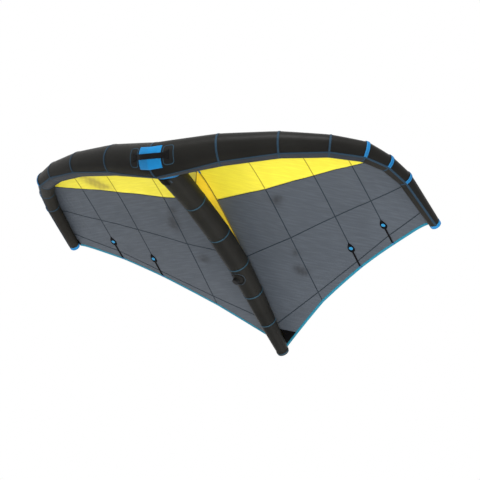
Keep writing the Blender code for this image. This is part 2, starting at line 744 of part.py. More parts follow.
def build_handle():
    """Front handle: padding, two sewn anchors and the strap that stands off the tube."""
    angles = wrap_angles(PAD_ANGLES)
    reach = EDGE.length_to_stations(0, PAD_HALF_LENGTH, 1)
    lift = SEAT_GAP + PAD_THICKNESS / 2
    grid = [[EDGE.point(s, a, lift) for a in angles] for s in (-reach, -reach / 2, 0, reach / 2, reach)]
    sheet("handle_pad", grid, PAD_THICKNESS, "bright_blue")

    angles = wrap_angles(ANCHOR_ANGLES)
    reaches = (ANCHOR_FROM, (ANCHOR_FROM + ANCHOR_TO) / 2, ANCHOR_TO)
    stations = [EDGE.length_to_stations(0, x, 1) for x in reaches]
    lift = SEAT_GAP + ANCHOR_THICKNESS / 2
    for side, label in ((-1, "left"), (1, "right")):
        grid = [[EDGE.point(side * s, a, lift) for a in angles] for s in stations]
        sheet("handle_anchor_" + label, grid, ANCHOR_THICKNESS, "black_webbing")

    build_strap()


def build_strap():
    """Webbing strap: flat on its two anchors and bowed clear of the padding between them."""
    turn = radians(HANDLE_ANGLE)
    outward = Vector((0, sin(turn), cos(turn)))
    across = Vector((0, cos(turn), -sin(turn)))
    root_lift = SEAT_GAP * 2 + ANCHOR_THICKNESS + STRAP_THICKNESS / 2
    free = STRAP_HALF_LENGTH - STRAP_SEWN
    end = EDGE.point(EDGE.length_to_stations(0, free, 1), HANDLE_ANGLE, root_lift)
    rise = EDGE.point(0, HANDLE_ANGLE, STRAP_STANDOFF) - Vector((0, end.y, end.z))
    rings = []
    for i in range(STRAP_STEPS + 1):
        x = STRAP_HALF_LENGTH * (2 * i / STRAP_STEPS - 1)
        share = abs(x) / free
        if share < 1:
            centre = Vector((x, end.y, end.z)) + rise * (1 - share ** STRAP_BOW_POWER) ** 2
        else:
            centre = EDGE.point(EDGE.length_to_stations(0, x, 1), HANDLE_ANGLE, root_lift)
        rings.append([
            centre + across * (a * STRAP_WIDTH / 2) + outward * (b * STRAP_THICKNESS / 2)
            for a, b in ((-1, -1), (1, -1), (1, 1), (-1, 1))
        ])
    return loft("handle_strap", rings, "black_webbing")


def valve_place():
    """Placement on the strut's underside, with its Z axis pointing out of the cloth."""
    seat = STRUT.point(VALVE_STATION, VALVE_ANGLE)
    ahead = STRUT.point(VALVE_STATION + 0.1, VALVE_ANGLE)
    out = (seat - STRUT.centre(VALVE_STATION)).normalized()
    run = (ahead - seat).normalized()
    out = (out - run * out.dot(run)).normalized()
    turned = Matrix((run, out.cross(run), out)).transposed().to_4x4()
    return Matrix.Translation(seat) @ turned


def valve_cutter(name):
    """Round hole for the valve's neck, through casing and bladder."""
    r = VALVE_NECK_RADIUS + SEAT_GAP
    profile = [(0, -OVERRUN), (r, -OVERRUN), (r, OVERRUN), (0, OVERRUN)]
    return revolve(name, profile, valve_place(), None, VALVE_SIDES)


def build_valve():
    """Valve under the strut: patch, body, spring-back plunger and flip cap."""
    place = valve_place()
    radius = STRUT.radius(VALVE_STATION)
    start = VALVE_NECK_RADIUS + 2 * SEAT_GAP
    grid = []
    span = (STRUT.centres[int(VALVE_STATION) + 1] - STRUT.centres[int(VALVE_STATION)]).length
    lift = SEAT_GAP + PATCH_CLOTH / 2
    for i in range(VALVE_PATCH_ROWS + 1):
        reach = start + (VALVE_PATCH_RADIUS - start) * i / VALVE_PATCH_ROWS
        row = []
        for n in range(VALVE_SIDES):
            turn = 2 * pi * n / VALVE_SIDES
            station = VALVE_STATION + reach * cos(turn) / span
            angle = VALVE_ANGLE + reach * sin(turn) / radius * 180 / pi
            row.append(STRUT.point(station, angle, lift))
        grid.append(row)
    sheet("valve_patch", grid, PATCH_CLOTH, "tube_cloth", wrap=True)

    top = VALVE_SEAT + VALVE_FLANGE
    crest = top + VALVE_COLLAR_HEIGHT
    foot = -VALVE_NECK_DEPTH
    rim = -VALVE_RIM_DEPTH
    body = [
        (VALVE_BORE_RADIUS, foot), (VALVE_NECK_RADIUS, foot), (VALVE_NECK_RADIUS, VALVE_SEAT),
        (VALVE_FLANGE_RADIUS, VALVE_SEAT), (VALVE_FLANGE_RADIUS, top), (VALVE_COLLAR_RADIUS, top),
        (VALVE_COLLAR_RADIUS, crest), (VALVE_BORE_RADIUS, crest), (VALVE_BORE_RADIUS, rim),
        (VALVE_RIM_RADIUS, rim), (VALVE_RIM_RADIUS, rim - VALVE_RIM), (VALVE_BORE_RADIUS, rim - VALVE_RIM),
    ]
    revolve("valve_body", body, place, "black_plastic", VALVE_SIDES)

    seal = rim - VALVE_RIM - SEAT_GAP
    stem = [
        (0, seal - PLUNGER_THICKNESS), (PLUNGER_RADIUS, seal - PLUNGER_THICKNESS), (PLUNGER_RADIUS, seal),
        (PLUNGER_STEM_RADIUS, seal), (PLUNGER_STEM_RADIUS, seal + PLUNGER_STEM), (0, seal + PLUNGER_STEM),
    ]
    plunger = revolve("valve_plunger", stem, place, "hose_rubber", VALVE_SIDES)
    set_origin(plunger, place.translation)

    build_cap(place, crest)


def build_cap(place, crest):
    """Flip cap on a pinned hinge between two lugs of the valve's flange."""
    lip = crest - CAP_LIP
    inside = CAP_RADIUS - CAP_SHELL
    cap = [
        (0, crest + SEAT_GAP), (inside, crest + SEAT_GAP), (inside, lip), (CAP_RADIUS, lip),
        (CAP_RADIUS, crest + CAP_RISE / 2), (CAP_RADIUS - CAP_RISE / 2, crest + CAP_RISE),
        (0, crest + CAP_RISE),
    ]
    lid = revolve("valve_cap", cap, place, "black_plastic", VALVE_SIDES)
    body = bpy.data.objects["valve_body"]
    axis = Vector(valve_hinge_local())
    ear = cross_rod("cap_ear", place, axis, EAR_RADIUS, EAR_HALF_WIDTH)
    neck_low = Vector((CAP_RADIUS - CAP_SHELL, -EAR_HALF_WIDTH, axis.z - EAR_RADIUS / 2))
    neck_high = Vector((axis.x, EAR_HALF_WIDTH, axis.z + EAR_RADIUS / 2))
    boolean(lid, block("cap_neck", place, neck_low, neck_high), "UNION")
    boolean(lid, ear, "UNION")
    bore = cross_rod("cap_bore", place, axis, PIN_RADIUS + SEAT_GAP, EAR_HALF_WIDTH + OVERRUN / 10)
    boolean(lid, bore, "DIFFERENCE")

    inner = EAR_HALF_WIDTH + SEAT_GAP
    for side in (-1, 1):
        near, far = sorted((side * inner, side * (inner + LUG_WIDTH)))
        low = Vector((CAP_RADIUS + SEAT_GAP * 1.5, near, VALVE_SEAT))
        high = Vector((axis.x + LUG_REACH, far, axis.z + LUG_REACH / 2))
        boolean(body, block(f"lug_{side}", place, low, high), "UNION")
    half = inner + LUG_WIDTH
    bore = cross_rod("lug_bore", place, axis, PIN_RADIUS + SEAT_GAP, half + OVERRUN / 10)
    boolean(body, bore, "DIFFERENCE")
    pin = cross_rod("valve_hinge_pin", place, axis, PIN_RADIUS, half)
    pin.data.materials.append(make_material("black_plastic"))
    set_origin(lid, valve_hinge())


def block(name, place, low, high):
    """Box between two corners in a placement's own directions."""
    shape = bmesh.new()
    size = high - low
    bmesh.ops.create_cube(shape, size=1)
    bmesh.ops.scale(shape, vec=size, verts=shape.verts)
    bmesh.ops.translate(shape, vec=low + size / 2, verts=shape.verts)
    bmesh.ops.transform(shape, matrix=place, verts=shape.verts)
    return add_object(name, shape, None)


def cross_rod(name, place, centre, radius, half):
    """Round rod along the placement's Y axis."""
    turned = place @ Matrix.Translation(centre) @ Matrix.Rotation(pi / 2, 4, "X")
    profile = [(0, -half), (radius, -half), (radius, half), (0, half)]
    return revolve(name, profile, turned, None, PIN_SIDES)


def valve_hinge_local():
    """Middle of the cap's hinge in the valve's own placement, towards the tail."""
    lip = VALVE_SEAT + VALVE_FLANGE + VALVE_COLLAR_HEIGHT - CAP_LIP
    return CAP_RADIUS + EAR_RADIUS + SEAT_GAP, 0, lip + EAR_RADIUS / 2


def valve_hinge():
    """Middle of the cap's hinge in the wing's frame."""
    return valve_place() @ Vector(valve_hinge_local())


def stand_on_base():
    """Parent everything to an empty that puts the origin under the middle of the wing."""
    bpy.context.view_layer.update()
    graph = bpy.context.evaluated_depsgraph_get()
    corners = []
    pieces = [piece for piece in bpy.data.objects if piece.type == "MESH"]
    for piece in pieces:
        if not piece.hide_render:
            shown = piece.evaluated_get(graph)
            corners += [shown.matrix_world @ vertex.co for vertex in shown.data.vertices]
    lowest = min(point.z for point in corners)
    middle = (min(point.y for point in corners) + max(point.y for point in corners)) / 2
    frame = bpy.data.objects.new("wing_frame", None)
    bpy.context.collection.objects.link(frame)
    frame.location = (0, -middle, -lowest)
    for piece in pieces:
        piece.parent = frame


def build_wing():
    """Every piece of the wing."""
    clear_scene()
    build_tubes()
    build_hose()
    build_trim()
    build_canopy()
    build_handle()
    build_valve()
    stand_on_base()


build_wing()
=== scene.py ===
"""Looks of an inflatable hand-held wing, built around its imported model.

Metres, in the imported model's frame: +Z up as the wing is flown, nose towards -Y, span along X.
"""

import json
from math import cos, pi, radians, sin

import bpy
import numpy as np
from mathutils import Matrix, Vector


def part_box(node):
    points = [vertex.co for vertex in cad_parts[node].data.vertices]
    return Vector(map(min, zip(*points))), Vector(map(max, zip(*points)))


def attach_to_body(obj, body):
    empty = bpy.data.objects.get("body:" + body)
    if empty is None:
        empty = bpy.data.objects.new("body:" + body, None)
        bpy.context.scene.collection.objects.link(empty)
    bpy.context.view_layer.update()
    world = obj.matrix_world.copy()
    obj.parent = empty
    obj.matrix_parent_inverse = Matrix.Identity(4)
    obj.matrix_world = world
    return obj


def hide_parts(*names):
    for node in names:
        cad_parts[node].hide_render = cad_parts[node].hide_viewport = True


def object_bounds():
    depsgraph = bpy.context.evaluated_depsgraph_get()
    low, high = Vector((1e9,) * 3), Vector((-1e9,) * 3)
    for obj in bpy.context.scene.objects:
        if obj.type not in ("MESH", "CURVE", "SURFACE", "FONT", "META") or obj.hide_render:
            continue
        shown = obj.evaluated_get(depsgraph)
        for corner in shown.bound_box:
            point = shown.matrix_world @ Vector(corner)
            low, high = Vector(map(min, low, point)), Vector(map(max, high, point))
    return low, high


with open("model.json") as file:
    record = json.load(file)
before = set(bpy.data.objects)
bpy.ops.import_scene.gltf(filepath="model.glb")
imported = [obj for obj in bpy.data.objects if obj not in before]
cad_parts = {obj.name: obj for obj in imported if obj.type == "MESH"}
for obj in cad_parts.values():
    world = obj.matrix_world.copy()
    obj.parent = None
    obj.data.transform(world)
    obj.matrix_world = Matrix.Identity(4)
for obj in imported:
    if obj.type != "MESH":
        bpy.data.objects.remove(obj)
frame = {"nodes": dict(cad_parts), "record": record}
cad_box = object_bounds()

# Sizes of the solids that the pieces follow, as the model has them
HALF_SPAN = 1.330
TIP_SETBACK = 1.007
DIHEDRAL = 0.264
NOSE_DIAMETER = 0.214
STRUT_LENGTH = 1.860
STRUT_CAMBER = 0.095
STRUT_DIAMETER = 0.142
CANOPY_CAMBER = 0.177
COLOUR_SPLIT = 0.632
TRAILING_SCALLOP = 0.004
CLOTH = 0.0010
SEAT_GAP = 0.0003
TAIL_PLATE = 0.0023

LE_SPAN_SHARES = (0, 0.277, 0.532, 0.730, 0.857, 0.920, 0.960, 1)
LE_SETBACK_SHARES = (0, 0.053, 0.123, 0.221, 0.323, 0.452, 0.600, 1)
LE_RISE_SHARES = (0, 0.356, 0.610, 0.807, 0.928, 1.011, 1.049, 1)
LE_DIAMETER_SHARES = (1, 0.888, 0.729, 0.617, 0.561, 0.458, 0.411, 0.308)
STRUT_STATION_SHARES = (0.022, 0.236, 0.413, 0.570, 0.708, 0.848, 1)
STRUT_RISE_SHARES = (0.24, 0.75, 0.98, 0.94, 0.62, 0.20, -0.22)
STRUT_DIAMETER_SHARES = (1.14, 1.035, 1.055, 1.02, 0.92, 0.76, 0.545)
TE_SPAN_SHARES = (0, 0.298, 0.555, 0.754, 0.842, 0.895, 0.936, 0.968)
TE_SETBACK_SHARES = (1.025, 0.612, 0.342, 0.172, 0.095, 0.048, 0.015, -0.009)
TE_RISE_SHARES = (0.125, 0.485, 0.777, 0.973, 1.0, 1.015, 1.027, 1.027)
CAMBER_SHARES = (1, 0.54, 0.36, 0.175, 0.085, 0.045, 0.02, 0)
ATTACH_ANGLES = (-30, -22, -18, -10, 0, 12, 25, 40)
CROWN_SHARES = ((0.20, 1.565), (0.36, 1.088))
SPLIT_STATION = 5
SPLIT_END = 4.9
CANOPY_END = 6.92
TIP = len(LE_SPAN_SHARES) - 1
TAIL = len(STRUT_STATION_SHARES) - 1
UP = np.array((0.0, 0.0, 1.0))

# Camera of the photograph
CAMERA_AZIMUTH = 38.0
CAMERA_ELEVATION = -35.0
CAMERA_ROLL = 20.75
CAMERA_DISTANCE = 9.0
CAMERA_AIM = (0.0975, 0.8715, 0.1160)   # from the nose
FOCAL_LENGTH = 108.1
SENSOR = 36.0


# Surfaces that the pieces lie on

class Tube:
    """Inflated tube: straight tapered lengths, mitred where they meet."""

    def __init__(self, centres, radii, first=0):
        self.centres = np.array(centres, float)
        self.radii = np.array(radii, float)
        self.first = first
        steps = np.diff(self.centres, axis=0)
        self.lengths = np.linalg.norm(steps, axis=1)
        ways = steps / self.lengths[:, None]
        before = np.vstack([ways[:1], ways])
        after = np.vstack([ways, ways[-1:]])
        self.axis = before + after
        self.axis /= np.linalg.norm(self.axis, axis=1)[:, None]
        self.bend = np.degrees(np.arccos(np.clip((before * after).sum(1), -1, 1)))
        self.up = UP - self.axis * self.axis[:, 2:]
        self.up /= np.linalg.norm(self.up, axis=1)[:, None]
        self.aft = np.cross(self.up, self.axis)

    def split(self, station):
        """Length number and share along it for stations."""
        run = np.asarray(station, float) - self.first
        k = np.clip(np.floor(run).astype(int), 0, len(self.lengths) - 1)
        return k, run - k

    def seam(self, k, angle, lift):
        turn = np.radians(angle)
        way = self.up[k] * np.cos(turn)[..., None] + self.aft[k] * np.sin(turn)[..., None]
        return self.centres[k] + way * (self.radii[k] + lift)[..., None]

    def at(self, station, angle, lift=0.0):
        """Points on the tube, lifted off its cloth; the arguments may be arrays."""
        station, angle, lift = np.broadcast_arrays(*[np.asarray(v, float) for v in (station, angle, lift)])
        k, part = self.split(station)
        low, high = self.seam(k, angle, lift), self.seam(k + 1, angle, lift)
        return low + (high - low) * part[..., None]

    def seam_distance(self, station):
        """Distance along the tube to the nearest seam, and that seam's number."""
        k, part = self.split(station)
        ahead = part > 0.5
        return np.where(ahead, 1 - part, part) * self.lengths[k], k + ahead

    def step(self, station, length, side):
        """Stations that a length takes on one side of a station."""
        k = int(station - self.first) + (0 if side > 0 else -1)
        return length / self.lengths[k]


def leading_edge_tube(origin):
    """The leading edge from the left tip to the right tip; station 0 is the nose."""
    half = np.stack([
        np.array(LE_SPAN_SHARES) * HALF_SPAN,
        np.array(LE_SETBACK_SHARES) * TIP_SETBACK,
        np.array(LE_RISE_SHARES) * DIHEDRAL,
    ], 1)
    radii = np.array(LE_DIAMETER_SHARES) * NOSE_DIAMETER / 2
    left = half[:0:-1] * (-1, 1, 1)
    return Tube(np.vstack([left, half]) + origin, np.concatenate([radii[:0:-1], radii]), -TIP)


def strut_tube(origin):
    """The arched centre strut."""
    setbacks = np.array(STRUT_STATION_SHARES) * STRUT_LENGTH
    centres = np.stack([0 * setbacks, setbacks, np.array(STRUT_RISE_SHARES) * STRUT_CAMBER], 1)
    return Tube(centres + origin, np.array(STRUT_DIAMETER_SHARES) * STRUT_DIAMETER / 2)


def nose_origin():
    """The nose's centre, worked out from the tail face that the record states."""
    tail = [m for m in frame["record"]["mounts"] if m["name"] == "tail_face"][0]
    strut = strut_tube(np.zeros(3))
    return np.array(tail["pos_m"]) - strut.centres[-1] - strut.axis[-1] * TAIL_PLATE


NOSE = nose_origin()
EDGE = leading_edge_tube(NOSE)
STRUT = strut_tube(NOSE)


def read_shares(shares, station):
    return np.interp(station, np.arange(len(shares)), shares)


def trailing_point(station):
    """Points on the right half's trailing edge, hollowed between its stations."""
    station = np.asarray(station, float)
    last = 3
    part = np.where(station < last, station % 1, (station - last) / (TIP - last))
    point = np.stack([
        read_shares(TE_SPAN_SHARES, station) * HALF_SPAN,
        TIP_SETBACK + read_shares(TE_SETBACK_SHARES, station) * (STRUT_LENGTH - TIP_SETBACK)
        - TRAILING_SCALLOP * 4 * part * (1 - part),
        read_shares(TE_RISE_SHARES, station) * DIHEDRAL,
    ], -1)
    return point + NOSE


def canopy_base(station, along):
    """Middle of the canopy cloth; a negative station lies on the left half."""
    station, along = np.broadcast_arrays(np.asarray(station, float), np.asarray(along, float))
    side = np.where(station < 0, -1.0, 1.0)
    away = np.abs(station)
    front = EDGE.at(away, read_shares(ATTACH_ANGLES, away), SEAT_GAP + CLOTH / 2)
    first, second = CROWN_SHARES
    back = 1 - along
    early, late = 3 * back * back * along, 3 * back * along * along
    chord = early * first[0] + late * second[0] + along ** 3
    height = early * first[1] + late * second[1]
    point = front + (trailing_point(away) - front) * chord[..., None]
    point[..., 2] += read_shares(CAMBER_SHARES, away) * CANOPY_CAMBER * height
    point[..., 0] *= side
    return point


def canopy_up(station, along):
    """Unit directions square to the canopy, out of its top."""
    step = 0.004
    station, along = np.broadcast_arrays(np.asarray(station, float), np.asarray(along, float))
    low, high = np.maximum(along - step, 0), np.minimum(along + step, 1)
    chordwise = canopy_base(station, high) - canopy_base(station, low)
    spanwise = canopy_base(station + step, along) - canopy_base(station - step, along)
    up = np.cross(spanwise, chordwise)
    return up / np.linalg.norm(up, axis=-1)[..., None]


def canopy_ripple(station, along):
    """Height of the cloth's billow and puckers over its smooth form."""
    away = np.abs(np.asarray(station, float))
    along = np.asarray(along, float)
    billow = BILLOW * np.sin(pi * np.clip(away, 0, 3)) ** 2 * np.sin(pi * np.clip(along, 0, 1))
    from_edge = along * (0.45 + 1.4 * np.exp(-away))
    pucker = PUCKER * np.cos(2 * pi * away * PUCKERS_PER_STATION) * np.exp(-from_edge / PUCKER_REACH)
    pucker *= np.clip(from_edge / PUCKER_REACH * 2, 0, 1)
    slack = SLACK * np.sin(away * 9 + along * 7) * np.sin(along * 11 - away * 4) * np.sin(pi * along)
    return billow + pucker + slack


def canopy_at(station, along, lift=0.0):
    """Points on the dressed canopy, lifted out of its top or, when negative, its underside."""
    height = canopy_ripple(station, along) + lift
    return canopy_base(station, along) + canopy_up(station, along) * height[..., None]


def cross_share(station, line):
    """Share along the chord at which the canopy meets a line of plan points (x, y) from the nose."""
    steps = np.linspace(0, 1, 400)
    point = canopy_base(np.full(400, abs(float(station))), steps) - NOSE
    reach = np.interp(point[:, 0], [place[0] for place in line], [place[1] for place in line])
    return np.interp(0, point[:, 1] - reach, steps)


def split_along(station):
    """Where the front panel ends: a straight line in plan from the centre to the leading edge."""
    end = canopy_base(SPLIT_STATION, 0.0) - NOSE
    return cross_share(station, ((0, COLOUR_SPLIT), (end[0], end[1])))


# Cloth sizes and how it lies
BILLOW = 0.0030
PUCKER = 0.0011
PUCKERS_PER_STATION = 7
PUCKER_REACH = 0.045
SLACK = 0.0010


# Building meshes

def add_mesh(name, points, faces, uvs, material, body="wing", sharp=None):
    """Mesh object from points, faces and one UV pair for each point."""
    mesh = bpy.data.meshes.new(name)
    mesh.from_pydata([tuple(p) for p in points], [], faces)
    if uvs is not None:
        layer = mesh.uv_layers.new(name="cloth")
        loops = np.empty(len(mesh.loops), int)
        mesh.loops.foreach_get("vertex_index", loops)
        layer.data.foreach_set("uv", np.asarray(uvs, float)[loops].ravel())
    mesh.shade_smooth()
    if sharp:
        mesh.set_sharp_from_angle(angle=radians(sharp))
    mesh.materials.append(material)
    piece = bpy.data.objects.new(name, mesh)
    bpy.context.scene.collection.objects.link(piece)
    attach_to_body(piece, body)
    return piece


def grid_faces(rows, columns, wrap_rows=False, wrap_columns=False, first=0):
    """Quads over a grid of points numbered row by row."""
    faces = []
    for i in range(rows if wrap_rows else rows - 1):
        for j in range(columns if wrap_columns else columns - 1):
            a, b = i * columns + j, i * columns + (j + 1) % columns
            c, d = ((i + 1) % rows) * columns + (j + 1) % columns, ((i + 1) % rows) * columns + j
            faces.append((first + a, first + b, first + c, first + d))
    return faces


def tube_piece(name, grid, uvs, material, caps=True, **kw):
    """Closed tube over rings of points."""
    rows, columns = grid.shape[:2]
    faces = grid_faces(rows, columns, wrap_columns=True)
    if caps:
        faces.append(tuple(range(columns - 1, -1, -1)))
        faces.append(tuple(range((rows - 1) * columns, rows * columns)))
    piece = add_mesh(name, grid.reshape(-1, 3), faces, uvs.reshape(-1, 2), material, **kw)
    turn_out(piece)
    return piece


def slab(name, surface, thickness, uvs, material, crown=0.0, **kw):
    """Closed cloth: surface(lift) gives a grid of points; the two faces lie half a thickness apart.

    A crown swells the middle and thins the rim, as in a padded or stitched-down piece."""
    rows, columns = uvs.shape[:2]
    v, u = np.meshgrid(np.linspace(-1, 1, columns), np.linspace(-1, 1, rows))
    swell = crown * ((1 - u ** 8) * (1 - v ** 8)) ** 0.5
    top = surface(thickness / 2 + swell)
    low = surface(np.zeros_like(swell) - thickness / 2)
    points = np.concatenate([top.reshape(-1, 3), low.reshape(-1, 3)])
    count = rows * columns
    faces = grid_faces(rows, columns)
    faces += [tuple(reversed(f)) for f in grid_faces(rows, columns, first=count)]
    rim = [j for j in range(columns)]
    rim += [i * columns + columns - 1 for i in range(1, rows)]
    rim += [(rows - 1) * columns + j for j in range(columns - 2, -1, -1)]
    rim += [i * columns for i in range(rows - 2, 0, -1)]
    for a, b in zip(rim, rim[1:] + rim[:1]):
        faces.append((b, a, a + count, b + count))
    flat = uvs.reshape(-1, 2)
    piece = add_mesh(name, points, faces, np.concatenate([flat, flat]), material, **kw)
    turn_out(piece)
    return piece


def turn_out(piece):
    """Face normals outwards."""
    import bmesh
    shape = bmesh.new()
    shape.from_mesh(piece.data)
    bmesh.ops.recalc_face_normals(shape, faces=shape.faces)
    shape.to_mesh(piece.data)
    shape.free()


# Materials

class Graph:
    """Node tree of one Principled material, built by short calls."""

    def __init__(self, name):
        self.material = bpy.data.materials.new(name)
        self.material.use_nodes = True
        self.tree = self.material.node_tree
        self.shader = self.tree.nodes["Principled BSDF"]
        self.uv = self.node("ShaderNodeUVMap").outputs["UV"]
        self.place = self.node("ShaderNodeTexCoord").outputs["Object"]

    def node(self, kind, inputs=(), **settings):
        made = self.tree.nodes.new(kind)
        for key, value in settings.items():
            setattr(made, key, value)
        for key, value in dict(inputs).items():
            self.put(made.inputs[key], value)
        return made

    def put(self, socket, value):
        if isinstance(value, bpy.types.NodeSocket):
            self.tree.links.new(value, socket)
        elif isinstance(value, tuple) and len(value) == 3 and socket.type == "RGBA":
            socket.default_value = (*value, 1.0)
        else:
            socket.default_value = value

    def math(self, operation, a, b=0.0, c=0.0):
        return self.node("ShaderNodeMath", {0: a, 1: b, 2: c}, operation=operation).outputs[0]

    def fade(self, value, low, high, to_low=0.0, to_high=1.0):
        """Smooth step of a value between two limits."""
        inputs = {0: value, 1: low, 2: high, 3: to_low, 4: to_high}
        return self.node("ShaderNodeMapRange", inputs, interpolation_type="SMOOTHSTEP").outputs[0]

    def noise(self, scale, detail=2.0, vector=None, roughness=0.5):
        inputs = {"Vector": vector or self.place, "Scale": scale, "Detail": detail, "Roughness": roughness}
        return self.node("ShaderNodeTexNoise", inputs).outputs["Fac"]

    def mix(self, share, first, second):
        made = self.node("ShaderNodeMix", data_type="RGBA")
        self.put(made.inputs[0], share)
        self.put(made.inputs[6], first)
        self.put(made.inputs[7], second)
        return made.outputs[2]

    def split(self, vector):
        made = self.node("ShaderNodeSeparateXYZ", {0: vector})
        return made.outputs[0], made.outputs[1]

    def attribute(self, name):
        return self.node("ShaderNodeAttribute", attribute_name=name).outputs["Fac"]

    def bump(self, height, distance, strength=1.0, normal=None):
        inputs = {"Height": height, "Distance": distance, "Strength": strength}
        if normal:
            inputs["Normal"] = normal
        return self.node("ShaderNodeBump", inputs).outputs["Normal"]

    def finish(self, colour, roughness, normal=None, sheen=0.0, specular=0.5, sheen_roughness=0.5):
        self.put(self.shader.inputs["Base Color"], colour)
        self.put(self.shader.inputs["Roughness"], roughness)
        if normal:
            self.put(self.shader.inputs["Normal"], normal)
        self.shader.inputs["Sheen Weight"].default_value = sheen
        self.shader.inputs["Sheen Roughness"].default_value = sheen_roughness
        self.shader.inputs["Specular IOR Level"].default_value = specular
        return self.material


def tint(colour, factor):
    return tuple(min(channel * factor, 1.0) for channel in colour)


def threads(graph, pitch):
    """Height of a plain weave with a given thread spacing, from the cloth's own UV in metres."""
    u, v = graph.split(graph.uv)
    warp = graph.math("SINE", graph.math("MULTIPLY", u, 2 * pi / pitch))
    weft = graph.math("SINE", graph.math("MULTIPLY", v, 2 * pi / pitch))
    return graph.math("MULTIPLY", warp, weft)


def ripstop_lines(graph, spacing, width):
    """Mask of the ripstop's thicker threads."""
    lines = []
    for axis in graph.split(graph.uv):
        gap = graph.math("PINGPONG", axis, spacing / 2)
        lines.append(graph.fade(gap, width / 2, width, 1.0, 0.0))
    return graph.math("MAXIMUM", *lines)


STREAK_ANGLES = (-0.14, 0.42)     # how far the threads turn from the span on each half, in radians
STREAKS_ALONG = 9.0         # noise cells to the metre along the threads and across them
STREAKS_ACROSS = 78.0


def streaks(graph):
    """Fine uneven lines along the threads of each half's cloth."""
    u, v = graph.split(graph.uv)
    left, right = STREAK_ANGLES
    turn = graph.math("MULTIPLY_ADD", graph.math("GREATER_THAN", u, 0.0), right - left, left)
    cosine, sine = graph.math("COSINE", turn), graph.math("SINE", turn)
    along = graph.math("ADD", graph.math("MULTIPLY", u, cosine), graph.math("MULTIPLY", v, sine))
    across = graph.math("SUBTRACT", graph.math("MULTIPLY", v, cosine), graph.math("MULTIPLY", u, sine))
    place = graph.node("ShaderNodeCombineXYZ", {0: graph.math("MULTIPLY", along, STREAKS_ALONG),
                                                1: graph.math("MULTIPLY", across, STREAKS_ACROSS)}).outputs[0]
    return graph.noise(1.0, 2.0, place)


def ripstop(name, colour, shade, dark_spot_colour, streaked):
    """Canopy cloth: ripstop grid, faint creases, and soft darker patches from a painted attribute."""
    g = Graph(name)
    grid = ripstop_lines(g, 0.005, 0.0007)
    broad = g.noise(1.6, 3.0)
    cloud = g.noise(9.0, 4.0)
    tone = g.mix(g.fade(broad, 0.35, 0.65), tint(colour, 0.955), tint(colour, 1.045))
    tone = g.mix(g.fade(cloud, 0.4, 0.75, 0.0, 0.35), tone, tint(colour, 0.90))
    tone = g.mix(g.math("MULTIPLY", grid, 0.16), tone, tint(colour, shade))
    streak = streaks(g)
    tone = g.mix(g.fade(streak, 0.30, 0.70, streaked, 0.0), tone, tint(colour, 0.62))
    tone = g.mix(g.fade(streak, 0.45, 0.75, 0.0, streaked), tone, tint(colour, 1.30))
    # darkens the cloth towards a darker colour where the dark-spot attribute is painted
    tone = g.mix(g.attribute("dark_spots"), tone, dark_spot_colour)
    crease = g.noise(7.0, 5.0, roughness=0.62)
    normal = g.bump(crease, 0.0035, 0.5)
    normal = g.bump(g.math("ADD", threads(g, 0.0009), grid), 0.00012, 0.35, normal)
    rough = g.fade(cloud, 0.3, 0.7, 0.46, 0.58)
    return g.finish(tone, rough, normal, sheen=0.03, specular=0.10)


def tube_cloth(name, colour):
    """Black coated polyester of the inflated tubes."""
    g = Graph(name)
    broad = g.noise(3.2, 3.0)
    scuff = g.noise(46.0, 6.0, roughness=0.7)
    weave = threads(g, 0.0011)
    tone = g.mix(g.fade(broad, 0.35, 0.68), tint(colour, 0.86), tint(colour, 1.16))
    tone = g.mix(g.fade(scuff, 0.58, 0.80, 0.0, 0.35), tone, tint(colour, 1.9))
    tone = g.mix(g.fade(weave, -0.6, 0.6, 0.0, 0.25), tone, tint(colour, 0.7))
    normal = g.bump(g.noise(11.0, 4.0), 0.0022, 0.5)
    normal = g.bump(weave, 0.00010, 0.5, normal)
    rough = g.fade(scuff, 0.3, 0.75, 0.38, 0.48)
    return g.finish(tone, rough, normal, specular=0.07)


def zigzag(graph, pitch, swing, width):
    """Mask of a zigzag row of stitches about v = 0, u along the seam."""
    u, v = graph.split(graph.uv)
    wave = graph.math("SUBTRACT", graph.math("PINGPONG", u, pitch / 2), pitch / 4)
    centre = graph.math("MULTIPLY", wave, swing / (pitch / 4))
    return graph.fade(graph.math("ABSOLUTE", graph.math("SUBTRACT", v, centre)), width / 2, width, 1.0, 0.0)


def run_stitch(graph, offset, pitch, width):
    """Mask of two straight rows of stitches at v = plus and minus an offset."""
    u, v = graph.split(graph.uv)
    row = graph.math("ABSOLUTE", graph.math("SUBTRACT", graph.math("ABSOLUTE", v), offset))
    dash = graph.fade(graph.math("PINGPONG", u, pitch / 2), pitch * 0.08, pitch * 0.14)
    return graph.math("MULTIPLY", graph.fade(row, width / 2, width, 1.0, 0.0), dash)


def tape(name, colour, thread, pattern="zigzag", width=0.008, roughness=0.6, specular=0.12):
    """Sewn tape with its stitching; UV runs along the tape and across from its middle."""
    g = Graph(name)
    if pattern == "zigzag":
        stitches = zigzag(g, 0.006, width * 0.28, 0.0007)
    else:
        stitches = run_stitch(g, width * 0.36, 0.0045, 0.0008)
    weave = threads(g, 0.0008)
    tone = g.mix(g.fade(weave, -0.7, 0.7, 0.0, 0.5), colour, tint(colour, 0.72))
    tone = g.mix(g.fade(g.noise(30.0, 3.0), 0.4, 0.7, 0.0, 0.4), tone, tint(colour, 0.8))
    tone = g.mix(stitches, tone, thread)
    normal = g.bump(weave, 0.00008, 0.5)
    normal = g.bump(stitches, 0.0005, 0.8, normal)
    return g.finish(tone, roughness, normal, specular=specular)


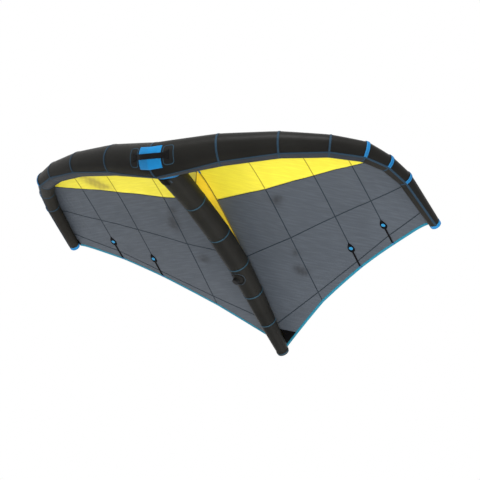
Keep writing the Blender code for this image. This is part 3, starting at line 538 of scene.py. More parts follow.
def webbing(name, colour, thread):
    """Ribbed woven strap with flecks of thread."""
    g = Graph(name)
    u, v = g.split(g.uv)
    rib = g.math("SINE", g.math("MULTIPLY", v, 2 * pi / 0.0026))
    pick = g.math("SINE", g.math("MULTIPLY", u, 2 * pi / 0.0016))
    weave = g.math("MULTIPLY", rib, pick)
    tone = g.mix(g.fade(weave, -0.8, 0.8), tint(colour, 0.6), tint(colour, 1.6))
    tone = g.mix(g.fade(g.noise(60.0, 4.0), 0.6, 0.8, 0.0, 0.4), tone, thread)
    normal = g.bump(weave, 0.00035, 0.8)
    return g.finish(tone, 0.72, normal, specular=0.10)


def padding(name, colour):
    """Soft grippy padding with a fine knit."""
    g = Graph(name)
    knit = threads(g, 0.0022)
    tone = g.mix(g.fade(knit, -0.8, 0.8, 0.0, 0.45), colour, tint(colour, 0.78))
    tone = g.mix(g.fade(g.noise(18.0, 4.0), 0.42, 0.7, 0.0, 0.5), tone, tint(colour, 0.86))
    normal = g.bump(g.noise(26.0, 3.0), 0.0012, 0.5)
    normal = g.bump(knit, 0.00025, 0.6, normal)
    return g.finish(tone, 0.62, normal, sheen=0.04, specular=0.14)


def moulded(name, colour, roughness=0.42, grain=0.00006):
    """Moulded plastic or rubber with a fine spark-eroded grain."""
    g = Graph(name)
    fine = g.noise(900.0, 2.0)
    tone = g.mix(g.fade(g.noise(40.0, 4.0), 0.4, 0.7), tint(colour, 0.85), tint(colour, 1.2))
    normal = g.bump(fine, grain, 0.6)
    return g.finish(tone, g.fade(fine, 0.3, 0.7, roughness - 0.05, roughness + 0.07), normal, specular=0.30)


def film(name, colour):
    """Clear bladder film, hidden inside its casing."""
    g = Graph(name)
    tone = g.mix(g.fade(g.noise(12.0, 3.0), 0.35, 0.7), tint(colour, 0.9), tint(colour, 1.08))
    return g.finish(tone, g.fade(g.noise(30.0, 2.0), 0.3, 0.7, 0.2, 0.3), g.bump(g.noise(20.0, 3.0), 0.001, 0.4))


BLACK = (0.0113, 0.0109, 0.0097)
STRIP_GREY = (0.033, 0.038, 0.047)
STRIP_BROWN = (0.020, 0.0185, 0.0155)
GREY = (0.0815, 0.0945, 0.1135)
GREY_SEAM = (0.028, 0.040, 0.053)
YELLOW = (0.905, 0.783, 0.056)
YELLOW_SEAM = (0.45, 0.36, 0.03)
# Painted light and shade: the web is the canopy's yellow cloth; this copy is brighter in red for the light the upright
# web misses, and more orange for its shade.
WEB_YELLOW_PAINTED_SHADING = (0.95, 0.68, 0.045)
BRIGHT_BLUE = (0.010, 0.155, 0.385)
DIM_BLUE = (0.018, 0.042, 0.070)
PALE_BLUE = (0.024, 0.062, 0.092)
TEAL = (0.022, 0.23, 0.34)
BLACK_TRIM = (0.0035, 0.0035, 0.0038)

MATERIALS = {
    "tube": tube_cloth("tube_cloth", BLACK),
    # Painted light: the strut is the same black cloth as the leading edge, made 1.42 times lighter to stand for the
    # light from below that falls on it. The tail cap and the valve's seat patch share this lighter colour.
    "strut": tube_cloth("strut_cloth_painted_lighter", tint(BLACK, 1.42)),
    "strip_inner": tube_cloth("strip_inner_cloth", STRIP_GREY),
    "strip_outer": tube_cloth("strip_outer_cloth", STRIP_BROWN),
    "grey": ripstop("canopy_grey", GREY, 0.62, (0.036, 0.038, 0.043), 0.26),
    "yellow": ripstop("canopy_yellow", YELLOW, 0.80, (0.36, 0.28, 0.04), 0.15),
    # the web's cloth: canopy yellow with painted light and shade
    "web": ripstop("web_yellow", WEB_YELLOW_PAINTED_SHADING, 0.80, (0.50, 0.33, 0.03), 0.12),
    "web_tape": tape("web_tape", (0.20, 0.15, 0.03), (0.35, 0.27, 0.05), "run"),
    "grey_seam": tape("grey_seam", GREY_SEAM, (0.018, 0.024, 0.030), "run"),
    "yellow_seam": tape("yellow_seam", YELLOW_SEAM, (0.30, 0.22, 0.02), "run"),
    "blue": tape("blue_tape", BRIGHT_BLUE, (0.07, 0.34, 0.62), "run", 0.020, 0.5),
    "heart": tape("heart_cloth", (0.020, 0.27, 0.55), (0.10, 0.45, 0.70), "run", 0.020, 0.5),
    "tab": tape("tab_tape", (0.045, 0.17, 0.38), (0.10, 0.30, 0.55)),
    "cap": tape("cap_cloth", (0.018, 0.22, 0.52), (0.08, 0.38, 0.68), "zigzag", 0.010, 0.5),
    "dim": tape("dim_tape", DIM_BLUE, PALE_BLUE),
    "pale": tape("pale_tape", PALE_BLUE, (0.055, 0.13, 0.19)),
    "hem": tape("hem_tape", TEAL, (0.03, 0.35, 0.50), "zigzag", 0.010),
    "patch": tape("patch_cloth", BLACK_TRIM, (0.012, 0.012, 0.014), specular=0.06),
    "webbing": webbing("webbing", BLACK_TRIM, (0.012, 0.012, 0.013)),
    "pad": padding("handle_padding", (0.006, 0.20, 0.48)),
    "anchor": tape("anchor_cloth", (0.0095, 0.0095, 0.0090), (0.014, 0.016, 0.018), specular=0.10),
    "outline": tape("outline_thread", (0.022, 0.052, 0.080), (0.04, 0.09, 0.13), specular=0.10),
    "valve_line": tape("valve_thread", (0.036, 0.052, 0.068), (0.06, 0.09, 0.12), specular=0.10),
    "plastic": moulded("black_plastic", (0.008, 0.008, 0.0085), 0.48),
    "rubber": moulded("pale_rubber", (0.60, 0.62, 0.60), 0.5),
    "rod": moulded("glass_fibre", (0.030, 0.031, 0.033), 0.3),
    "film": film("bladder_film", (0.55, 0.60, 0.62)),
}


# Pieces: inflated tubes

RING_SIDES = 96
RING_STEP = 0.010
SEAM_PINCH = 0.0013
SEAM_PINCH_REACH = 0.007
TUBE_BULGE = 0.0008
WRINKLE = 0.0011
WRINKLE_REACH = 0.030


def tube_stations(tube, start, end, step):
    """Stations a step apart along the tube, with every seam among them."""
    seams = [k for k in range(int(np.ceil(start)), int(np.floor(end)) + 1)]
    marks = sorted(set([start, end] + seams))
    found = []
    for low, high in zip(marks, marks[1:]):
        k, _ = tube.split((low + high) / 2)
        count = max(int(round(tube.lengths[k] * (high - low) / step)), 2)
        found += list(np.linspace(low, high, count, endpoint=False))
    return np.array(found + [marks[-1]])


def tube_lift(tube, station, angle, inner_angle):
    """How an inflated tube swells between seams, is pinched at them and wrinkles inside a bend."""
    distance, seam = tube.seam_distance(station)
    lift = -SEAM_PINCH * np.exp(-(distance / SEAM_PINCH_REACH) ** 2)
    lift += TUBE_BULGE * (1 - np.exp(-(distance / 0.05) ** 2))
    inside = np.clip(np.cos(np.radians(angle - inner_angle)), 0, 1)
    ripple = np.cos(np.radians(angle) * 26 + seam * 1.7)
    return lift + WRINKLE * (tube.bend[seam] / 20) * inside * ripple * np.exp(-distance / WRINKLE_REACH)


def run_lengths(grid):
    """Length along the first column of points, for UVs in metres."""
    steps = np.linalg.norm(np.diff(grid[:, 0], axis=0), axis=-1)
    return np.concatenate([[0], np.cumsum(steps)])


def inflated(name, tube, start, end, inner_angle, material):
    """Skin of an inflated tube between two stations."""
    station = tube_stations(tube, start, end, RING_STEP)
    angle = np.arange(RING_SIDES) * 360 / RING_SIDES
    s, a = np.meshgrid(station, angle, indexing="ij")
    grid = tube.at(s, a, tube_lift(tube, s, a, inner_angle) - 0.0004)
    run = run_lengths(grid)[:, None] + 0 * a
    around = np.radians(a) * np.mean(tube.radii)
    return tube_piece(name, grid, np.stack([run, around], -1), material)


def ring_tape(name, tube, station, width, material, angles=(0, 360), lift=0.0009, thickness=0.0012):
    """Tape sewn round a tube over one station, all round or between two angles."""
    whole = angles[1] - angles[0] >= 360
    count = 97 if whole else max(int((angles[1] - angles[0]) / 3), 6)
    turn = np.linspace(angles[0], angles[1], count)
    across = np.linspace(-1, 1, 7)
    near = tube.step(station, width / 2, -1) if station > tube.first else 0
    far = tube.step(station, width / 2, 1) if station < tube.first + len(tube.lengths) else 0
    shift = np.where(across < 0, across * near, across * far)
    s, a = np.meshgrid(station + shift, turn, indexing="ij")
    bow = lift + 0.0005 * (1 - across[:, None] ** 2) + 0 * a
    distance = np.abs(across[:, None]) * width / 2
    pinch = -SEAM_PINCH * 0.6 * np.exp(-(distance / SEAM_PINCH_REACH) ** 2)
    radius = tube.radii[int(np.clip(round(station - tube.first), 0, len(tube.radii) - 1))]
    uv = np.stack([np.radians(a) * radius, across[:, None] * width / 2 + 0 * a], -1)
    return slab(name, lambda t: tube.at(s, a, bow + pinch + t), thickness, uv, material)


def long_strip(name, tube, station, low_angle, high_angle, columns, lift, thickness, material):
    """Cloth that runs along a tube between two angles, which may change from station to station."""
    share = np.linspace(0, 1, columns)
    s = np.repeat(station[:, None], columns, 1)
    a = low_angle[:, None] * (1 - share) + high_angle[:, None] * share
    grid = tube.at(s, a, lift)
    run = run_lengths(grid)[:, None] + 0 * a
    radius = np.mean(tube.radii)
    middle = (low_angle + high_angle)[:, None] / 2
    uv = np.stack([run, np.radians(a - middle) * radius], -1)
    return slab(name, lambda t: tube.at(s, a, lift + t), thickness, uv, material)


UNDER_SEAM_STATIONS = (0, 0.67, 1, 2, 3, 4, 5, 6, 7)
UNDER_SEAM_ANGLES = (160, 172, 180, 188, 197, 202, 209, 204, 214)
UNDER_SEAM_HALVES = (0.0045, 0.0045, 0.0045, 0.0045, 0.0050, 0.0058, 0.0062, 0.0062, 0.0062)
BAND_WIDTH = 0.0205
BAND_START = 4              # a blue band starts this many degrees past the seam under the tube
BAND_END = 340


def build_leading_edge():
    """The inflated leading edge, its seams, bands and the strip that joins it to the canopy."""
    skin = inflated("leading_edge_skin", EDGE, -TIP, TIP, 90, MATERIALS["tube"])
    for side in ("left", "right"):
        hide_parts(*[f"leading_edge_{side}_{k}" for k in range(1, TIP + 1)])
    seams = []
    for k in (-3, -2, -1, 0, 1, 2, 3):
        seams.append(ring_tape(f"seam_ring_{k + 3}", EDGE, k, 0.0118, MATERIALS["dim"]))
    for side, label in ((-1, "left"), (1, "right")):
        for k in (4, 5, 6):
            dim = ring_tape(f"band_under_{k}_{label}", EDGE, side * k, 0.010, MATERIALS["dim"], lift=0.0014)
            band = ring_tape(f"band_{k}_{label}", EDGE, side * k, BAND_WIDTH, MATERIALS["blue"],
                             (UNDER_SEAM_ANGLES[k + 1] + BAND_START, BAND_END), 0.0028)
            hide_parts(f"joint_band_{k}_{label}")
            seams += [dim]
        station = side * tube_stations(EDGE, 0.02, TIP - 0.05, 0.012)
        seam = np.interp(np.abs(station), UNDER_SEAM_STATIONS, UNDER_SEAM_ANGLES)
        attach = read_shares(ATTACH_ANGLES, np.abs(station)) + 2
        for part, low, high in (("inner", 0, 4), ("outer", 4, TIP)):
            within = (np.abs(station) >= low - 0.001) & (np.abs(station) <= high + 0.001)
            seams.append(long_strip(f"canopy_strip_{part}_{label}", EDGE, station[within], attach[within],
                                    seam[within], 24, 0.0008, 0.0008, MATERIALS["strip_" + part]))
        half = np.interp(np.abs(station), UNDER_SEAM_STATIONS, UNDER_SEAM_HALVES)
        half = np.degrees(half / (NOSE_DIAMETER / 2 * read_shares(LE_DIAMETER_SHARES, np.abs(station))))
        line = long_strip(f"under_seam_{label}", EDGE, station, seam - half, seam + half, 5, 0.0016, 0.0009, MATERIALS["dim"])
        seams.append(line)
        cap = tip_cap(label, side)


def tip_cap(label, side):
    """Cloth cap over a tip: skirt, rounded rim and slightly swollen end."""
    station = side * TIP
    k = EDGE.split(station)[0] + (1 if side > 0 else 0)
    axis = EDGE.axis[k] * side
    turn = np.arange(72) * 5.0
    skirt = EDGE.step(station, 0.024, -side)
    rows, lengths = [], []
    for share in (1.0, 0.66, 0.33, 0.12):
        rows.append(EDGE.at(station - side * skirt * share, turn, 0.0016))
    rim = EDGE.at(station, turn, 0.0016)
    centre = EDGE.centres[k]
    for share, rise in ((0.985, 0.0), (0.95, 0.0016), (0.86, 0.0026), (0.6, 0.0038), (0.3, 0.0046), (0.08, 0.0048)):
        rows.append(centre + (rim - centre) * share + axis * rise)
    inner = [EDGE.at(station - side * skirt, turn, 0.0004)]
    grid = np.stack(inner + rows)
    run = run_lengths(grid)
    uv = np.stack(np.meshgrid(run - run[2], np.radians(turn) * EDGE.radii[-1], indexing="ij")[::-1], -1)
    cap = tube_piece(f"tip_end_{label}", grid, uv, MATERIALS["cap"], sharp=60)
    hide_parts(f"tip_cap_{label}")
    return cap


def junction_station(angle, lift=0.0):
    """Where the strut's surface comes out of the leading edge, for an angle round the strut."""
    stations = np.linspace(0.02, 1.0, 600)
    point = STRUT.at(stations, angle, lift)
    span = np.abs(point[:, 0])
    centre = np.stack([np.interp(span, EDGE.centres[TIP:, 0], EDGE.centres[TIP:, i]) for i in (1, 2)], 1)
    radius = np.interp(span, EDGE.centres[TIP:, 0], EDGE.radii[TIP:])
    off = np.hypot(point[:, 1] - centre[:, 0], point[:, 2] - centre[:, 1]) - radius
    return np.interp(0, off, stations)


JUNCTION_TAPE = ((0, 200, 235, 290, 330, 360), (0.011, 0.015, 0.025, 0.029, 0.020, 0.012))   # width by angle


def build_junction():
    """Tape sewn where the strut comes out of the leading edge, with a small black patch painted as shadow, and a tab
    behind it.
    """
    angle = np.linspace(0, 360, 97)
    start = np.array([junction_station(a) for a in angle])
    reach = np.interp(angle, *JUNCTION_TAPE)
    share = np.linspace(-0.15, 1, 7)
    s = start[:, None] + reach[:, None] * share[None, :] / STRUT.lengths[0]
    a = np.repeat(angle[:, None], 7, 1)
    bow = 0.0012 + 0.0010 * (1 - share ** 2)[None, :] + 0 * a
    uv = np.stack([np.radians(a) * STRUT_DIAMETER / 2, reach[:, None] * share[None, :]], -1)
    ring = slab("junction_tape", lambda t: STRUT.at(s, a, bow + t), 0.0014, uv, MATERIALS["blue"])
    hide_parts("strut_collar")
    for name, low, high, near, far, key, slot, lift in (
            # Painted shadow: the black patch lies on the strut's left front where only the shade behind the tab falls.
            ("junction_shadow_patch", 132, 190, 0.016, 0.075, "patch", "black_webbing", 0.0034),
            ("junction_tab", 199, 206, 0.038, 0.062, "valve_line", "bright_blue", 0.0020)):
        angle = np.linspace(low, high, 14)
        start = np.array([junction_station(a) for a in angle])
        reach = np.linspace(near, far, 10)
        s = start[:, None] + reach[None, :] / STRUT.lengths[0]
        a = np.repeat(angle[:, None], 10, 1)
        uv = np.stack([np.radians(a) * STRUT_DIAMETER / 2, reach[None, :] + 0 * a], -1)
        piece = slab(name, lambda t: STRUT.at(s, a, lift + t), 0.0012, uv, MATERIALS[key], crown=0.0003)


def build_strut():
    """The inflated strut, its seams, front collar and a ring near the tail."""
    start = 0.17
    skin = inflated("strut_skin", STRUT, start, TAIL, 180, MATERIALS["strut"])
    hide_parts("strut_casing")
    build_junction()
    for k in range(1, TAIL):
        ring = ring_tape(f"strut_ring_{k}", STRUT, k, 0.010, MATERIALS["pale"])
    end = ring_tape("strut_end_ring", STRUT, TAIL - STRUT.step(TAIL, 0.010, -1), 0.009, MATERIALS["pale"], lift=0.0026)


# Pieces: canopy

def canopy_grid(stations, starts, ends, columns):
    """Stations and shares along the chord for a panel between two limits at each station."""
    share = np.linspace(0, 1, columns)
    along = np.array(starts)[:, None] * (1 - share) + np.array(ends)[:, None] * share
    return np.repeat(np.array(stations)[:, None], columns, 1), along


# Soft darker patches painted on the canopy's colour: plan place from the nose, half width, half depth, weight
GREY_DARK_SPOTS = (
    (0.415, 0.664, 0.036, 0.026, 0.80), (0.395, 0.705, 0.028, 0.032, 0.45), (0.365, 1.105, 0.024, 0.026, 0.70),
    (0.354, 1.263, 0.042, 0.036, 0.90), (0.330, 1.225, 0.026, 0.028, 0.60), (-0.359, 0.691, 0.034, 0.034, 0.65),
    (-0.405, 0.814, 0.044, 0.048, 0.90), (-0.388, 0.760, 0.032, 0.036, 0.60), (-0.311, 1.113, 0.036, 0.036, 0.70),
)
YELLOW_DARK_SPOTS = (
    (-0.909, 0.356, 0.040, 0.034, 0.95), (-0.853, 0.424, 0.055, 0.040, 1.00), (-0.795, 0.476, 0.060, 0.034, 0.80),
)


def paint_dark_spots(piece, spots):
    """Attribute with soft darker patches at places in plan."""
    co = np.array([v.co for v in piece.data.vertices]) - NOSE
    value = np.zeros(len(co))
    for x, y, wide, deep, weight in spots:
        across = co[:, 0] - x
        uneven = 1 + 0.35 * np.sin(co[:, 1] * 90 + co[:, 0] * 55) * np.sin(co[:, 0] * 130)
        value += weight * uneven * np.exp(-(across / wide) ** 2 - ((co[:, 1] - y) / deep) ** 2)
    layer = piece.data.attributes.new("dark_spots", "FLOAT", "POINT")
    layer.data.foreach_set("value", np.clip(value, 0, 0.8).astype(np.float32))


def sheet_area(grid):
    """Area of a grid of points."""
    a, b = grid[1:, :-1] - grid[:-1, :-1], grid[:-1, 1:] - grid[:-1, :-1]
    c, d = grid[:-1, 1:] - grid[1:, 1:], grid[1:, :-1] - grid[1:, 1:]
    first = np.linalg.norm(np.cross(a, b), axis=-1).sum()
    return (first + np.linalg.norm(np.cross(c, d), axis=-1).sum()) / 2


def canopy_panel(name, stations, starts, ends, columns, material, replaced):
    """One cloth panel, both halves in a single sheet."""
    s, a = canopy_grid(stations, starts, ends, columns)
    middle = canopy_at(s, a)
    uv = (middle - NOSE)[..., :2]
    piece = slab(name, lambda t: canopy_at(s, a, t), 0.0006, uv, material)
    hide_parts(*replaced)
    return piece


def build_canopy():
    """Front and rear cloth, the seams over it, and the web down to the strut."""
    stations = np.linspace(-SPLIT_END, SPLIT_END, 197)
    ends = [split_along(s) for s in stations]
    front = canopy_panel("canopy_front", stations, 0 * stations, ends, 36, MATERIALS["yellow"],
                         ["canopy_front_left", "canopy_front_right"])
    paint_dark_spots(front, YELLOW_DARK_SPOTS)
    stations = np.linspace(-CANOPY_END, CANOPY_END, 277)
    starts = [split_along(s) if abs(s) < SPLIT_STATION else 0.0 for s in stations]
    rear = canopy_panel("canopy_rear", stations, starts, np.ones(len(stations)), 90, MATERIALS["grey"],
                        ["canopy_rear_left", "canopy_rear_right"])
    paint_dark_spots(rear, GREY_DARK_SPOTS)
    build_seams()
    build_hem()
    build_web()
    build_corner_patches()
    for number, station in ((1, 2), (2, 3)):
        for side, label in ((-1, "left"), (1, "right")):
            build_batten(number, station, side, label)


def surface_strip(name, path, width, material, lift, thickness=0.0005):
    """Narrow sewn strip over the canopy along a path of (station, share along the chord)."""
    path = np.array(path, float)
    middle = canopy_base(path[:, 0], path[:, 1])
    run = np.concatenate([[0], np.cumsum(np.linalg.norm(np.diff(middle, axis=0), axis=1))])
    way = np.gradient(middle, run, axis=0)
    up = canopy_up(path[:, 0], path[:, 1])
    across = np.cross(way, up)
    across /= np.linalg.norm(across, axis=1)[:, None]
    offsets = np.linspace(-width / 2, width / 2, 5)

    def surface(t):
        height = canopy_ripple(path[:, 0], path[:, 1])[:, None] + lift + t
        return middle[:, None] + across[:, None] * offsets[None, :, None] + up[:, None] * height[..., None]

    uv = np.stack(np.meshgrid(run, offsets, indexing="ij"), -1)
    piece = slab(name, surface, thickness, uv, material)
    return piece


# Spanwise seams: plan points (x, y) from the nose, and the station where each seam meets the tube
SPAN_SEAMS = {
    "fore": (((0, 1.109), (0.379, 0.981), (0.713, 0.868), (0.979, 0.785), (1.227, 0.694)), 6.45),
    "rear": (((0, 1.681), (0.385, 1.451), (0.737, 1.241), (1.262, 0.911)), 6.80),
}


def seam_path(line, last, side, count=180):
    """Path of a spanwise seam from the middle to where it runs out at the leading edge."""
    path = []
    for station in np.linspace(0.0, last, count):
        share = cross_share(station, line)
        if share <= 0.004:
            break
        path.append((side * station, share))
    return path


def build_seams():
    """Seams along the chord and across the span, on both faces of the canopy."""
    for side, label in ((-1, "left"), (1, "right")):
        for face, lift in (("under", -0.0007), ("top", 0.0007)):
            for k in (1, 2, 3):
                split = split_along(k)
                front = [(side * k, a) for a in np.linspace(0.004, split, 24)]
                surface_strip(f"seam_front_{k}_{face}_{label}", front, 0.006, MATERIALS["yellow_seam"], lift)
                rear = [(side * k, a) for a in np.linspace(split, 0.998, 60)]
                surface_strip(f"seam_rear_{k}_{face}_{label}", rear, 0.0065, MATERIALS["grey_seam"], lift)
            for row, (line, last) in SPAN_SEAMS.items():
                surface_strip(f"seam_{row}_{face}_{label}", seam_path(line, last, side), 0.0065,
                              MATERIALS["grey_seam"], lift * 1.3)
            split = [(side * s, split_along(s)) for s in np.linspace(0.0, SPLIT_END, 60)]
            surface_strip(f"seam_split_{face}_{label}", split, 0.005, MATERIALS["grey_seam"], lift * 1.1)
    middle = split_along(0)
    for part, low, high, key in (("front", 0.004, middle, "yellow"), ("rear", middle, 0.998, "grey")):
        surface_strip(f"seam_{part}_middle", [(1e-4, a) for a in np.linspace(low, high, 60)], 0.0065,
                      MATERIALS[key + "_seam"], 0.0009)


HEM_REACH = 0.0088          # half the width of the folded tape


def build_hem():
    """Folded tape that wraps the trailing edge."""
    for side, label in ((-1, "left"), (1, "right")):
        s = side * np.linspace(0.012, CANOPY_END, 260)
        ones = np.ones_like(s)
        edge = canopy_at(s, ones)
        run = run_lengths(edge[:, None])
        way = np.gradient(edge, run, axis=0)
        rear = edge - canopy_base(s, ones * 0.98)
        way /= np.linalg.norm(way, axis=1)[:, None]
        rear -= way * (rear * way).sum(1)[:, None]
        rear /= np.linalg.norm(rear, axis=1)[:, None]
        up = np.cross(way, rear)
        turn = np.arange(16) * 2 * pi / 16
        centre = edge - rear * (HEM_REACH - 0.0047)
        grid = centre[:, None] + rear[:, None] * (np.cos(turn) * HEM_REACH)[None, :, None] \
            + up[:, None] * (np.sin(turn) * 0.0021)[None, :, None]
        uv = np.stack(np.meshgrid(run, np.cos(turn) * HEM_REACH, indexing="ij"), -1)
        hem = tube_piece(f"hem_{label}", grid, uv, MATERIALS["hem"])
        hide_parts(f"trailing_hem_{label}")


WEB_TOP_SETBACK = 0.345
WEB_FOOT_SETBACK = 0.400
WEB_LEAN_REACH = 0.30
WEB_SEAM_STATION = 0.012    # how far out the web's top is sewn down


def build_web():
    """Upright cloth between the strut and the canopy's centre, with a bound front edge and a tab at its top."""
    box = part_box("canopy_web")
    end = box[1][1] - NOSE[1]
    foot = np.linspace(WEB_FOOT_SETBACK, end, 120)
    lean = np.clip(1 - (foot - WEB_FOOT_SETBACK) / WEB_LEAN_REACH, 0, 1)
    crest = foot - (WEB_FOOT_SETBACK - WEB_TOP_SETBACK) * lean
    steps = np.linspace(0, 1, 400)
    chord = canopy_base(np.zeros(400), steps) - NOSE
    roof = np.interp(crest, chord[:, 1], chord[:, 2]) + NOSE[2] - 0.0009
    ridge = STRUT.at(np.arange(TAIL + 1), 0.0, 0.0006)
    low = np.interp(foot + NOSE[1], ridge[:, 1], ridge[:, 2])
    share = np.linspace(0, 1, 16)
    z = low[:, None] * (1 - share) + roof[:, None] * share
    y = foot[:, None] * (1 - share) + crest[:, None] * share + NOSE[1]
    bow = 0.0016 * np.sin(pi * share)[None, :] * np.sin(foot * 31)[:, None]

    def surface(t):
        return np.stack([bow + t, y, z], -1)

    uv = np.stack([y - NOSE[1], z], -1)
    web = slab("web_cloth", surface, 0.0006, uv, MATERIALS["web"])
    layer = web.data.attributes.new("dark_spots", "FLOAT", "POINT")
    layer.data.foreach_set("value", np.zeros(len(web.data.vertices), np.float32))
    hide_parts("canopy_web")
    area = float(sheet_area(surface(np.zeros_like(y))))
    bind_web(surface(np.zeros_like(y))[0])
    limits = [np.interp(setback, chord[:, 1], steps) for setback in (WEB_TOP_SETBACK, end)]
    for side, label in ((-1, "left"), (1, "right")):
        path = [(side * WEB_SEAM_STATION, a) for a in np.linspace(*limits, 120)]
        surface_strip(f"web_top_seam_{label}", path, 0.0060, MATERIALS["web_tape"], -0.0010)


def bind_web(edge):
    """Folded tape over the web's front edge, and the tab that ties its top to the tube's strip."""
    way = (edge[-1] - edge[0]) / np.linalg.norm(edge[-1] - edge[0])
    back = np.cross(way, (1.0, 0, 0))
    back *= np.sign(back[1])
    run = np.linspace(0, 1, 24)
    line = edge[0] + (edge[-1] - edge[0]) * run[:, None]
    turn = np.arange(12) * pi / 6
    grid = line[:, None] + back * (np.cos(turn) * 0.0050 + 0.0020)[None, :, None] \
        + np.array((1.0, 0, 0)) * (np.sin(turn) * 0.0013)[None, :, None]
    uv = np.stack(np.meshgrid(run * 0.08, np.cos(turn) * 0.005, indexing="ij"), -1)
    tape_piece = tube_piece("web_front_tape", grid, uv, MATERIALS["web_tape"])
    steps = np.linspace(-1, 1, 13)
    y = edge[-1][1] + np.linspace(0.002, 0.040, 13)
    chord = canopy_base(np.zeros(400), np.linspace(0, 1, 400))
    roof = np.interp(y, chord[:, 1], chord[:, 2]) - 0.0032
    x = steps * 0.016 - 0.004

    def surface(t):
        drop = 0.0030 * (steps ** 2)[None, :]
        return np.stack(np.broadcast_arrays(x[None, :], y[:, None], roof[:, None] + drop * 0 + t), -1)

    uv = np.stack(np.meshgrid(y, x, indexing="ij"), -1)
    tab = slab("web_front_tab", surface, 0.0024, uv, MATERIALS["blue"], crown=0.0006)


def corner_patch(name, station, start, end, material, replaced):
    """Reinforcement under a corner of the canopy between shares along the chord."""
    s, a = canopy_grid(station, start, end, 16)
    middle = canopy_at(s, a)
    uv = (middle - NOSE)[..., :2]
    piece = slab(name, lambda t: canopy_at(s, a, -0.0013 + t), 0.0008, uv, material)
    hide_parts(replaced)


def build_corner_patches():
    for side, label in ((-1, "left"), (1, "right")):
        part = np.linspace(0, 1, 16)
        station = side * (0.03 + 0.26 * part)
        corner_patch(f"tail_corner_{label}", station, 0.958 + 0.0374 * part, 0 * part + 0.996,
                     MATERIALS["patch"], f"tail_patch_{label}")
        station = side * (6.70 + 0.285 * part)
        corner_patch(f"tip_corner_{label}", station, 0.80 - 0.75 * part, 0 * part + 0.996,
                     MATERIALS["patch"], f"tip_patch_{label}")


BATTEN_INSET = 0.007
POCKET_REACH = 0.208        # hem to the pocket's pointed nose
POCKET_HALF = 0.0210
POCKET_HEAD = 0.078         # length of the teardrop
SLEEVE_HALF = 0.0052
HEART_HALF = 0.0125
HEART_SHARE = 0.56          # how far back along the teardrop the blue heart sits


def teardrop(distance):
    """Half width of a pocket: pointed nose, round base, then the sleeve over the batten."""
    u = np.clip((POCKET_REACH - distance) / POCKET_HEAD, 0, 1)
    return np.maximum(POCKET_HALF * 2.6 * u * np.sqrt(1 - u), np.where(u > 0.6, SLEEVE_HALF, 0.0008))


def disc(distance):
    """Half width of the blue heart of a pocket."""
    middle = POCKET_REACH - POCKET_HEAD * HEART_SHARE
    return HEART_HALF * np.sqrt(np.clip(1 - ((distance - middle) / HEART_HALF) ** 2, 0.01, 1))


def build_batten(number, station, side, label):
    """Batten pocket under the canopy: sleeve, pointed patch with a blue heart, and a tab at the hem."""
    edge = canopy_base(station, 1.0)
    steps = np.linspace(0.55, 1, 500)
    distance = np.linalg.norm(canopy_base(np.full(500, float(station)), steps) - edge, axis=1)[::-1]
    shares = steps[::-1]

    def share_at(d):
        return np.interp(np.asarray(d) + BATTEN_INSET, distance, shares)

    def strip(name, limits, half_width, lift, thickness, material, crown=0.0):
        d = np.linspace(*limits, 72)
        half = half_width(d)
        path = share_at(d)
        middle = canopy_base(side * float(station), path)
        up = canopy_up(side * (station + 0.002), path)
        way = np.gradient(middle, d, axis=0)
        across = np.cross(way, up)
        across /= np.linalg.norm(across, axis=1)[:, None]
        offsets = np.linspace(-1, 1, 9)
        ripple = canopy_ripple(float(station), path)

        def surface(t):
            height = (ripple - lift)[:, None] - t
            return middle[:, None] + across[:, None] * (half[:, None] * offsets)[..., None] \
                + up[:, None] * height[..., None]

        uv = np.stack([np.repeat(d[:, None], 9, 1), half[:, None] * offsets], -1)
        piece = slab(name, surface, thickness, uv, material, crown=crown)
        return piece

    pocket = strip(f"pocket_{number}_{label}", (0, POCKET_REACH), teardrop, 0.0024, 0.0030, MATERIALS["patch"],
                   0.0008)
    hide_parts(f"batten_pocket_{number}_{label}", f"batten_{number}_{label}")
    middle = POCKET_REACH - POCKET_HEAD * HEART_SHARE
    strip(f"pocket_heart_{number}_{label}", (middle - HEART_HALF, middle + HEART_HALF), disc, 0.0047, 0.0010,
          MATERIALS["heart"])
    strip(f"pocket_tab_{number}_{label}", (-0.004, 0.010), lambda d: 0.0062 + 0 * d, 0.0042, 0.0014,
          MATERIALS["tab"])


# Pieces: handle, valve and tabs

HANDLE_ANGLE = 236
PAD_HALF = 0.0745


def wrap_patch(name, start, end, low, high, lift, thickness, material, crown=0.0, rows=24, columns=24):
    """Piece wrapped on the leading edge between two distances from the nose and two angles."""
    x = np.linspace(start, end, rows)
    station = x / EDGE.lengths[TIP]
    angle = np.linspace(low, high, columns)
    s, a = np.meshgrid(station, angle, indexing="ij")
    radius = NOSE_DIAMETER / 2
    uv = np.stack(np.meshgrid(x, np.radians(angle - (low + high) / 2) * radius, indexing="ij"), -1)
    piece = slab(name, lambda t: EDGE.at(s, a, lift + t), thickness, uv, material, crown=crown)
    return piece


def rounded_patch(name, start, end, low, high, corner, lift, thickness, material):
    """Patch on the leading edge with round corners, as rows of narrowing width."""
    x = np.linspace(start, end, 41)
    edge = np.minimum(x - start, end - x)
    inset = np.where(edge < corner, corner - np.sqrt(np.maximum(corner ** 2 - (corner - edge) ** 2, 0)), 0)
    inset = np.degrees(inset / (NOSE_DIAMETER / 2))
    share = np.linspace(0, 1, 25)
    a = (low + inset)[:, None] * (1 - share) + (high - inset)[:, None] * share
    s = np.repeat((x / EDGE.lengths[TIP])[:, None], 25, 1)
    uv = np.stack([np.repeat(x[:, None], 25, 1), np.radians(a) * NOSE_DIAMETER / 2], -1)
    piece = slab(name, lambda t: EDGE.at(s, a, lift + t), thickness, uv, material)
    return piece


